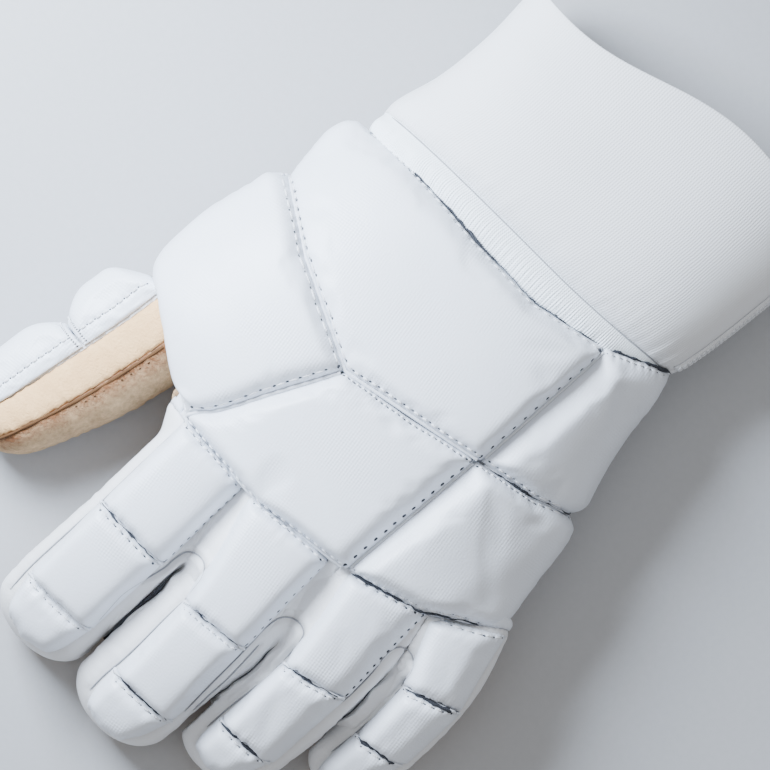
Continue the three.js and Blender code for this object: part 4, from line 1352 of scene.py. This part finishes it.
def add_hole(bm, place, along, normal, radius, deep=HOLE_DEPTH):
    centre = place - normal * (0.7 * deep / 1000)
    size = (1.35 * radius / 1000, 0.85 * radius / 1000, 0.35 * radius / 1000)
    add_ball(bm, centre, along, normal, size, HOLE_SIDES, HOLE_RINGS)


threads, holes = [], []
for row, hole_size, thread_size in rows:
    row_holes, row_threads = bmesh.new(), bmesh.new()
    for i, (place, normal) in enumerate(row):
        along = row[min(i + 1, len(row) - 1)][0] - row[max(i - 1, 0)][0]
        add_hole(row_holes, place, along, normal, HOLE_RADIUS * hole_size)
    for (a, normal_a), (b, normal_b) in zip(row, row[1:]):
        if thread_size:
            add_thread(row_threads, a, b, (normal_a + normal_b).normalized(), THREAD_RADIUS * thread_size)
    holes.append(row_holes)
    threads.append(row_threads)
print("sewn", len(threads), "rows")

# %% [markdown]
# A row of small holes runs through the thumb's napped leather beside its long seam. They are brown, so they
# are a piece of their own. The cuff's tape gets its slanting stitches.

# %% The thumb's holes and the tape's overlock
NAP_HOLES = {"angle": 70, "first": -52, "last": -84, "grow": 0, "step": 3.4}
NAP_HOLE_RADIUS = 0.36
OVERLOCK = {"pitch": 1.75, "long": 1.3, "radius": 0.5, "slant": 0.55}
# Shares up the tape and across it that give a stitch its two directions
UP_SAMPLE, ROUND_SAMPLE = 0.006, 0.02

brown_holes = bmesh.new()
nap_row = thumb_line(**NAP_HOLES)
for (a, normal), (b, _) in zip(nap_row, nap_row[1:]):
    add_hole(brown_holes, a, b - a, normal, NAP_HOLE_RADIUS, 0)

length = (cuff_place(TAPE_ANGLE, TAPE["high"], 0) - cuff_place(TAPE_ANGLE, TAPE["low"], 0)).length
for ridge in (0.25, 0.75):
    overlock = bmesh.new()
    for i in range(round(length / OVERLOCK["pitch"])):
        v = (i + 0.5) * OVERLOCK["pitch"] / length
        lower, upper = (TO_FRAME @ tape_place(ridge, min(v + side * UP_SAMPLE, 1)) for side in (-1, 1))
        centre = (lower + upper) / 2
        before, after = (TO_FRAME @ tape_place(ridge + side * ROUND_SAMPLE, v) for side in (-1, 1))
        round_way = (after - before).normalized()
        along = (upper - lower).normalized() + round_way * OVERLOCK["slant"]
        reach = along.normalized() * (OVERLOCK["long"] / 1000)
        normal = round_way.cross(upper - lower).normalized()
        normal *= 1 if normal.x > 0 else -1
        add_thread(overlock, centre - reach, centre + reach, normal, OVERLOCK["radius"], 0)
    threads.append(overlock)
thread_object = object_of(joined(threads), "white_stitches")
hole_object = object_of(joined(holes), "needle_holes")
brown_hole_object = object_of(brown_holes, "needle_holes_thumb")
print("threads:", triangles([thread_object]), "triangles; holes:", triangles([hole_object]), "triangles")

# %% [markdown]
# The seam cords are drawn as poly curves with a round bevel and then made meshes. The dark ones are painted
# shadow: near-black cords deep in the seams where two pads meet, and in the webs' slits, stand for the shade
# there; a noise on their radius leaves the broken, wavy line that pulled leather shows. The white welts lie
# just under the light seams, and the brown cord closes the thumb.

# %% Seam cords
# Painted seam shadows: (pad, edge, height above the skin, thickest radius)
SEAM_SHADOWS = [
    ("back_pad_wrist", "far", 2.1, 0.75), ("back_pad_side_upper", "far", 2.9, 0.75),
    ("back_pad_side_lower", "near", 3.2, 0.95), ("back_pad_side_upper", "near", 3.5, 0.6),
    ("index_pad_2", "far", 5.1, 0.5), ("middle_pad_2", "far", 5.1, 0.4), ("ring_pad_2", "far", 5.1, 0.65),
    ("ring_pad_3", "far", 5.0, 0.7), ("pinky_pad_2", "far", 5.0, 0.85), ("pinky_pad_3", "far", 4.8, 0.75),
    ("index_pad_3", "far", 4.9, 0.2), ("middle_pad_3", "far", 5.1, 0.5),
]
WELTS = [
    ("back_pad_wrist", "near", 5.9, 0.7), ("back_pad_wrist", "right", 4.1, 0.6),
    ("back_pad_thumb_side", "right", 6.6, 0.7), ("back_pad_middle", "near", 3.5, 0.7),
    ("back_pad_thumb_side", "near", 2.7, 0.7), ("back_pad_middle", "right", 3.9, 0.6),
    ("back_pad_side_upper", "near", 2.9, 0.6), ("back_pad_side_lower", "near", 2.5, 0.6),
]
# The welts over a finger's two joints, by their heights
FINGER_WELTS = {"index": (4.6, 4.5), "middle": (4.6, 4.6), "ring": (4.5, 4.4), "pinky": (4.4, 4.1)}
WELTS += [(f"{finger}_pad_{number}", "far", height, 0.6)
          for finger, heights in FINGER_WELTS.items() for number, height in enumerate(heights, 2)]
CORD_STEP, END_TRIM, WAVER = 0.9, 1.8, 0.6
# How thick the shadow in each web's slit is
SLITS = {"web_index_middle": 0.8, "web_middle_ring": 0.32, "web_ring_little": 0.32}
SLIT_STEPS, SLIT_SINK = 80, 1.1


def cord_piece(name, lines, radius_at):
    """Round cords along lines of places; radius_at(line, share) is in millimetres."""
    curve = bpy.data.curves.new(name, "CURVE")
    curve.dimensions = "3D"
    curve.bevel_depth = 0.001
    curve.bevel_resolution = 1
    curve.use_fill_caps = True
    for number, line in enumerate(lines):
        spline = curve.splines.new("POLY")
        spline.points.add(len(line) - 1)
        for i, (point, place) in enumerate(zip(spline.points, line)):
            point.co = (*place, 1)
            point.radius = radius_at(number, i / (len(line) - 1))
    maker = bpy.data.objects.new(name + "_curve", curve)
    scene.collection.objects.link(maker)
    bpy.context.view_layer.update()
    mesh = bpy.data.meshes.new_from_object(maker)
    bpy.data.objects.remove(maker)
    return smooth_object(mesh, name)


def edge_line(number, name, edge, height, waver):
    """A line along a pad's seam, wavering to both sides of it."""
    pad = pads[name]
    line = []
    for u, v in pad_row(pad, edge, 0.0, CORD_STEP, END_TRIM):
        place = pad.spot(u, v, min(height + SEAM_SWELL * pad.swell(u, v), pad.height(u, v) + 0.3))
        place.y += waver * wander(place.x * 0.45, place.y * 0.1, number * 5.1)
        line.append(TO_FRAME @ place)
    return line


def seam_shadow_radius(number, share):
    most = SEAM_SHADOWS[number][3]
    ripple = wander(share * 9, number * 3.7, 0.5) + 0.5 * wander(share * 31, number, 2.5)
    ends = min(share, 1 - share) * 8
    return most * min(max(0.55 + 0.9 * ripple, 0.16), 1) * min(ends + 0.15, 1)


def slit_line(name):
    places = [web_place(WEBS[name], 0.5, i / SLIT_STEPS, False) for i in range(SLIT_STEPS + 1)]
    # The shadow starts 3 mm past the place where the slit opens
    line = [place - Vector((0, 0, SLIT_SINK)) for place in places]
    return [TO_FRAME @ place for place in line if place.y < WEBS[name]["opens"] - 3]


def slit_radius(number, share):
    most = list(SLITS.values())[number]
    swell = 0.5 + 0.5 * wander(share * 7, number * 4.1, 0.5)
    return most * min(share * 4, 1) * (0.35 + swell)


# The band's upper seam: its share up the band, and the angles that it covers
BAND_SEAM_SHARE, BAND_SEAM_ANGLES = 0.93, range(18, 160)
# How deep the sewn lines are sunk, in metres
LINE_SUNK = 0.0002
# The short seam at the thumb's root is dropped from above
ROOT_SEAM = [(-61.5, -43.2), (-58, -45.5), (-55, -48)]


def edge_lines(table, waver):
    return [edge_line(i, name, edge, height, waver) for i, (name, edge, height, _) in enumerate(table)]


seam_shadow_cord = cord_piece("dark_seam_thread", edge_lines(SEAM_SHADOWS, WAVER), seam_shadow_radius)
slit_cord = cord_piece("slit_shadow", [slit_line(name) for name in SLITS], slit_radius)
band_line = [TO_FRAME @ band_place(angle, BAND_SEAM_SHARE, 0) for angle in BAND_SEAM_ANGLES]
welt_cord = cord_piece("seam_welts", edge_lines(WELTS, 0), lambda number, share: WELTS[number][3])
sewn_lines = [[place - normal * LINE_SUNK for place, normal in line] for line in plan_seams.values()]
line_cord = cord_piece("seam_lines", sewn_lines + [band_line],
                       lambda number, share: LINE_RADIUS * min(1, 0.3 + 12 * min(share, 1 - share)))
tan_trees = [surface_tree(panel_objects[n]) for n in ("thumb_side_panel", "thumb_inner_panel")]
root_seam = dropped(smooth_line(ROOT_SEAM, LINE_STEP), tan_trees)
brown_cord = cord_piece("brown_seam", [[place for place, _ in line] for line in (thumb_seam, root_seam)],
                        lambda number, share: 0.56 + 0.18 * math.sin(37 * share) * math.sin(13 * share))
print("cords:", triangles([seam_shadow_cord, slit_cord, welt_cord, line_cord, brown_cord]), "triangles")

# %% [markdown]
# The finish greys a little towards each seam: mostly painted shade in the seams, with a little dirt. The
# distance to the nearest seam is kept with every corner of the leather, once the shapes are final.

# %% Distance to the nearest seam
SEAM_STEP = 1.5
seam_places = [TO_FRAME @ pad.spot(u, v, pad.height(u, v)) for pad in pads.values()
               for edge in ("far", "near", "left", "right") for u, v in pad_row(pad, edge, 0.0, SEAM_STEP)]
seam_places += [place for line in [*plan_seams.values(), thumb_seam] for place, _ in line]
seam_tree = tree_of(seam_places)
for obj in [*pad_objects.values(), *panel_objects.values(), *web_objects.values()]:
    away = obj.data.attributes.new("seam", "FLOAT", "POINT")
    for vert in obj.data.vertices:
        away.data[vert.index].value = seam_tree.find(vert.co)[2] * 1000
print("measured from", len(seam_places), "places on the seams")

# %% [markdown]
# Shader patterns read best as formulas. A small class wraps a node's output, and Python's own signs on it
# add Math nodes; colours are blended with Mix nodes, and every other node comes from one method. A pattern
# is measured in millimetres, from Object coordinates that are the same as the model's frame.

# %% Formulas for finishes


def sign(operation):
    """The method behind one of Python's signs, and its reflected form, for a number that stands first."""
    def forward(self, other):
        return self.maths(operation, self, other)

    def reflected(self, other):
        return self.maths(operation, other, self)
    return forward, reflected


class Value:
    """A node's output, on which + - * and / add Math nodes."""

    __add__, __radd__ = sign("ADD")
    __sub__, __rsub__ = sign("SUBTRACT")
    __mul__, __rmul__ = sign("MULTIPLY")
    __truediv__, __rtruediv__ = sign("DIVIDE")

    def __init__(self, finish, socket):
        self.finish, self.socket = finish, socket

    def maths(self, operation, *values):
        return self.finish.node("ShaderNodeMath", {"operation": operation}, dict(enumerate(values)))

    def clipped(self):
        return self.maths("MINIMUM", self.maths("MAXIMUM", self, 0.0), 1.0)

    def sine(self):
        return self.maths("SINE", self)

    def power(self, exponent):
        return self.maths("POWER", self, exponent)


class Finish:
    """A material in the making, with its pattern nodes."""

    def __init__(self, name, **constants):
        self.material = bpy.data.materials.new(name)
        self.material.use_nodes = True
        self.tree = self.material.node_tree
        self.shader = self.tree.nodes["Principled BSDF"]
        for socket, value in constants.items():
            self.shader.inputs[socket.replace("_", " ")].default_value = value

    def node(self, kind, settings, sockets, output=0):
        made = self.tree.nodes.new(kind)
        for key, value in settings.items():
            setattr(made, key, value)
        for key, value in sockets.items():
            self.feed(made.inputs[key], value)
        return Value(self, made.outputs[output])

    def feed(self, socket, value):
        if isinstance(value, Value):
            self.tree.links.new(value.socket, socket)
        else:
            socket.default_value = value

    def scaled(self, vector, factor):
        sockets = {0: vector, "Scale": factor}
        return self.node("ShaderNodeVectorMath", {"operation": "SCALE"}, sockets, "Vector")

    def place(self):
        """Object coordinates in millimetres."""
        return self.scaled(self.node("ShaderNodeTexCoord", {}, {}, "Object"), 1000.0)

    def cloth(self):
        """The cloth's own UV in millimetres."""
        return self.scaled(self.node("ShaderNodeUVMap", {"uv_map": "cloth"}, {}, "UV"), 100.0)

    def parts(self, vector):
        split = self.node("ShaderNodeSeparateXYZ", {}, {0: vector})
        return [Value(self, socket) for socket in split.socket.node.outputs]

    def noise(self, vector, per_mm, detail=3.0, rough=0.5):
        sockets = {"Vector": vector, "Scale": per_mm, "Detail": detail, "Roughness": rough}
        return self.node("ShaderNodeTexNoise", {}, sockets)

    def pebbles(self, vector, per_mm):
        sockets = {"Vector": vector, "Scale": per_mm}
        return self.node("ShaderNodeTexVoronoi", {"feature": "SMOOTH_F1"}, sockets, "Distance")

    def seam(self, reach):
        """1 on a seam, falling to 0 at the reach in millimetres."""
        away = self.node("ShaderNodeAttribute", {"attribute_name": "seam"}, {}, "Fac")
        return (1 - away / reach).clipped()

    def mix(self, factor, a, b):
        """A blend of two colours; a Mix node has its colours at inputs 6 and 7."""
        sockets = {0: factor, 6: (*a, 1), 7: (*b, 1)}
        return self.node("ShaderNodeMix", {"data_type": "RGBA", "clamp_factor": True}, sockets, 2)

    def finished(self, color, roughness, height, bump_mm):
        self.feed(self.shader.inputs["Base Color"], color)
        self.feed(self.shader.inputs["Roughness"], roughness)
        sockets = {"Strength": 1.0, "Distance": bump_mm / 1000, "Height": height}
        self.feed(self.shader.inputs["Normal"], self.node("ShaderNodeBump", {}, sockets, "Normal"))
        return self.material


# %% [markdown]
# The back's leather is white and smooth, with a fine pebbled grain and, in places, the print of the woven
# backing. It is a little glossy on the pads, and greyer in the seams, which is mostly painted shade. The
# gussets between the fingers are a softer white leather. Dust is a slow noise, added to the painted seam shade.

# %% White leather


def white_leather(name, color, grey, roughness, grain, print_depth):
    finish = Finish(name, Specular_IOR_Level=0.45, Sheen_Weight=0.05)
    place = finish.place()
    x, y, _ = finish.parts(place)
    pebbles = finish.pebbles(place, 1.15)
    pores = finish.noise(place, 2.4, 4)
    slow = finish.noise(place, 0.035, 3)
    patches = (finish.noise(place, 0.05, 2) * 4 - 1.6).clipped()
    weave = ((x * 5.9 + y * 0.9).sine() + (y * 5.9 - x * 0.9).sine()) * patches
    dust = (slow * 3 - 1.35).clipped()
    # Near the seams the colour greys as painted shade; the slow dust and the pores add real dirt and tone
    seam_shade_and_dust = (finish.seam(4.5).power(2.0) * 0.55 + dust * 0.22 + pores * 0.06).clipped()
    shade = finish.mix(seam_shade_and_dust, color, grey)
    gloss = roughness + (slow - 0.5) * 0.16 + finish.seam(3) * 0.12
    height = pebbles * grain + pores * (0.5 * grain) + weave * print_depth
    return finish.finished(shade, gloss, height, 0.12)


# The second colour is the grey of the painted seam shade and of the dust
white_pad = white_leather("white_leather", (0.785, 0.83, 0.905), (0.58, 0.60, 0.64),
                          roughness=0.42, grain=0.35, print_depth=0.16)
white_gusset = white_leather("white_gusset", (0.80, 0.81, 0.83), (0.56, 0.555, 0.56),
                             roughness=0.55, grain=0.6, print_depth=0.05)

# %% [markdown]
# The palm and thumb are tan. The thumb's upper side is smooth split leather, pale and even. Inside the thumb
# the nap stands up, so the light catches it in flecks: two noises at different sizes mix a light and a dark
# tan, and the same flecks lift the surface.

# %% Tan leather and napped leather


def tan_leather(name, light, dark, fleck, nap, bump_mm, seam_reach, seam_share):
    finish = Finish(name, Specular_IOR_Level=0.15, Sheen_Weight=0.08, Sheen_Roughness=0.6)
    place = finish.place()
    fine = finish.noise(place, 1.1, 5, 0.65)
    blotch = finish.noise(place, 0.11, 3)
    flecks = ((finish.noise(place, 0.55, 5, 0.7) - 0.5) * fleck + 0.5).clipped()
    # The seam term is painted shade: the tan darkens towards its seams, the nap over a wider reach
    mask = (flecks * nap + blotch * (0.9 - nap * 0.6) + finish.seam(seam_reach) * seam_share - 0.12).clipped()
    shade = finish.mix(mask, light, dark)
    return finish.finished(shade, 0.86 + fine * 0.1, fine + flecks * 0.6, bump_mm)


tan_smooth = tan_leather("tan_leather", (0.92, 0.60, 0.30), (0.66, 0.38, 0.17),
                         fleck=2.4, nap=0.3, bump_mm=0.3, seam_reach=3, seam_share=0.25)
tan_nap = tan_leather("tan_suede", (1.0, 0.74, 0.43), (0.27, 0.115, 0.045),
                      fleck=1.9, nap=0.52, bump_mm=1.1, seam_reach=9, seam_share=0.6)

# %% [markdown]
# The cuff is knitted elastic with fine ribs along the glove, a millimetre apart, and each rib is a chain of
# small loops. The band's ribs are real, so its finish only adds the yarns across them. Both patterns follow
# the cloth's own UV, so they keep their size round the wrist.

# %% Knitted elastic and ribbed elastic


def elastic(name, color, grey, rib, loop, depth, bump_mm):
    finish = Finish(name, Specular_IOR_Level=0.25, Sheen_Weight=0.2, Sheen_Roughness=0.5)
    u, v, _ = finish.parts(finish.cloth())
    place = finish.place()
    wobble = finish.noise(place, 0.12, 2)
    ribs = ((u + wobble * 0.9) * (2 * math.pi / rib)).sine()
    loops = (v * (2 * math.pi / loop) + ribs * 1.6).sine()
    fuzz = finish.noise(place, 2.6, 4)
    slow = finish.noise(place, 0.03, 2)
    height = ribs * depth + loops * (1 - depth) * 0.6 + fuzz * 1.2
    # Darker colour in the rib valleys is painted shade; the fuzz and the dust below are the knit's own tone
    valley = (0.5 - ribs * 0.5).clipped()
    dust = (slow * 3 - 1.4).clipped()
    shade = finish.mix((valley * 0.14 + fuzz * 0.16 + dust * 0.2).clipped(), color, grey)
    return finish.finished(shade, 0.75 + fuzz * 0.12, height, bump_mm)


cuff_fabric = elastic("cuff_fabric", (0.80, 0.82, 0.85), (0.62, 0.64, 0.68),
                      rib=1.0, loop=1.2, depth=0.6, bump_mm=0.05)
ribbed_elastic = elastic("ribbed_elastic", (0.90, 0.96, 1.0), (0.74, 0.80, 0.90),
                         rib=0.95, loop=0.8, depth=0.5, bump_mm=0.1)

# %% [markdown]
# Thread is a twist of plies, so fine slanting lines cross it. The seam lines are the same thread, painted grey
# for the shade in the seam, and the thumb is closed with a brown one. The needle holes are painted dark for the
# shade inside them.

# %% Thread, seams and holes


def twisted(name, light, dark, roughness):
    finish = Finish(name, Specular_IOR_Level=0.3)
    place = finish.place()
    x, y, z = finish.parts(place)
    plies = ((x + y * 0.7 + z) * 9.0).sine() * 0.5 + 0.5
    worn = finish.noise(place, 0.4, 3)
    shade = finish.mix((plies * 0.4 + worn * 0.5).clipped(), light, dark)
    return finish.finished(shade, roughness, plies, 0.06)


def hole_shade_finish(name, light, dark):
    finish = Finish(name, Specular_IOR_Level=0.1)
    worn = finish.noise(finish.place(), 0.8, 3)
    return finish.finished(finish.mix(worn, light, dark), 0.9, worn, 0.05)


white_thread = twisted("white_thread", (0.82, 0.84, 0.87), (0.62, 0.64, 0.68), 0.55)
# The seam lines' grey is painted shade in the seam
seam_line = twisted("seam_line", (0.40, 0.41, 0.44), (0.20, 0.21, 0.23), 0.8)
# A near-black finish that paints the shadow in the seams and in the webs' slits
seam_shadow_paint = twisted("dark_seam_thread", (0.055, 0.06, 0.075), (0.015, 0.017, 0.022), 0.85)
brown_thread = twisted("brown_seam", (0.13, 0.06, 0.02), (0.05, 0.022, 0.008), 0.8)
# The holes' dark colour is painted shade inside each hole
hole_shade = hole_shade_finish("needle_hole", (0.03, 0.033, 0.04), (0.10, 0.105, 0.12))
hole_shade_brown = hole_shade_finish("needle_hole_brown", (0.03, 0.018, 0.01), (0.10, 0.055, 0.03))

# %% [markdown]
# Every piece now gets its finish, rides on the model's body and stands for the plain solid it replaces. The
# stitches, cords and webs stand for nothing: the solids leave such fine things out.

# %% Dress the model
FINISH_OF_SLOT = {
    "white_leather": white_pad, "white_gusset": white_gusset, "tan_leather": tan_smooth, "tan_suede": tan_nap,
    "cuff_fabric": cuff_fabric, "ribbed_elastic": ribbed_elastic,
}
SLOTS = {
    "palm_panel": "tan_leather", "thumb_side_panel": "tan_leather", "thumb_inner_panel": "tan_suede",
    "hand_back_panel": "white_leather", "hand_side_panel_thumb": "white_leather",
    "hand_side_panel_little": "white_leather",
}


def dress(obj, slot, node=None, material=None):
    obj.data.materials.clear()
    obj.data.materials.append(material or FINISH_OF_SLOT[slot])
    if node:
        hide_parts(node)
    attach(obj, "root")


for name, obj in panel_objects.items():
    node = NODES_OF_PANEL.get(name) or name.replace("_back_panel", "_sleeve").replace("_palm_panel", "_palm")
    dress(obj, SLOTS.get(name) or ("tan_leather" if "palm" in name else "white_gusset"), node)
for name, obj in pad_objects.items():
    dress(obj, "white_leather", name)
dress(cuff_back, "cuff_fabric", "cuff_back")
dress(cuff_under, "cuff_fabric", "cuff_under")
dress(band, "ribbed_elastic", "wrist_band")
dress(tape, "cuff_fabric", "cuff_side_tape", white_thread)
dress(thread_object, "white_leather", material=white_thread)
dress(hole_object, "white_leather", material=hole_shade)
dress(brown_hole_object, "tan_suede", material=hole_shade_brown)
dress(seam_shadow_cord, "white_leather", material=seam_shadow_paint)
dress(slit_cord, "white_gusset", material=seam_shadow_paint)
dress(line_cord, "white_gusset", material=seam_line)
dress(welt_cord, "white_leather")
for web in web_objects.values():
    dress(web, "white_gusset")
dress(brown_cord, "tan_suede", material=brown_thread)

# %% [markdown]
# The stage is a plain pale floor under soft studio light. The photograph looks almost straight down on the
# glove, turned so that the cuff is at the upper right, and its light comes from the thumb's side.

# %% Floor, lights and camera
bpy.ops.mesh.primitive_plane_add(size=6, location=(0, 0, -0.0005))
floor = bpy.context.object
floor.name = "floor"
floor_finish = Finish("pale_floor", Specular_IOR_Level=0.2)
floor_speckle = floor_finish.noise(floor_finish.place(), 0.4, 3)
floor_color = floor_finish.mix(floor_speckle, (0.41, 0.42, 0.44), (0.45, 0.46, 0.48))
floor.data.materials.append(floor_finish.finished(floor_color, 0.8, floor_speckle, 0.02))


def area_light(name, place, aim, size, power, color=(1, 1, 1)):
    data = bpy.data.lights.new(name, "AREA")
    data.size, data.energy, data.color = size, power, color
    lamp = bpy.data.objects.new(name, data)
    lamp.location = place
    lamp.rotation_euler = (Vector(aim) - Vector(place)).to_track_quat("-Z", "Y").to_euler()
    scene.collection.objects.link(lamp)


area_light("key", (-0.33, 0.01, 0.33), (-0.02, 0, 0.03), 0.22, 9.9, (0.775, 0.87, 1))
area_light("fill", (-0.1, 0.3, 1.7), (0, 0, 0), 1.4, 6, (0.95, 0.975, 1))
world = bpy.data.worlds.new("studio")
world.use_nodes = True
world.node_tree.nodes["Background"].inputs[0].default_value = (1, 0.985, 0.97, 1)
world.node_tree.nodes["Background"].inputs[1].default_value = 0.5
scene.world = world

camera_data = bpy.data.cameras.new("camera")
camera_data.sensor_width = 36
camera_data.lens = 120
camera = bpy.data.objects.new("camera", camera_data)
scene.collection.objects.link(camera)
scene.camera = camera
FRAME_WIDTH = 0.2618
azimuth, elevation = math.radians(45), math.radians(88)
distance = FRAME_WIDTH * camera_data.lens / camera_data.sensor_width
aim = TO_FRAME @ Vector((0, 0, 50))
level_share = math.cos(elevation)
back = Vector((math.sin(azimuth) * level_share, -math.cos(azimuth) * level_share, math.sin(elevation)))
camera.location = aim + back * distance
camera.rotation_euler = back.to_track_quat("Z", "Y").to_euler()
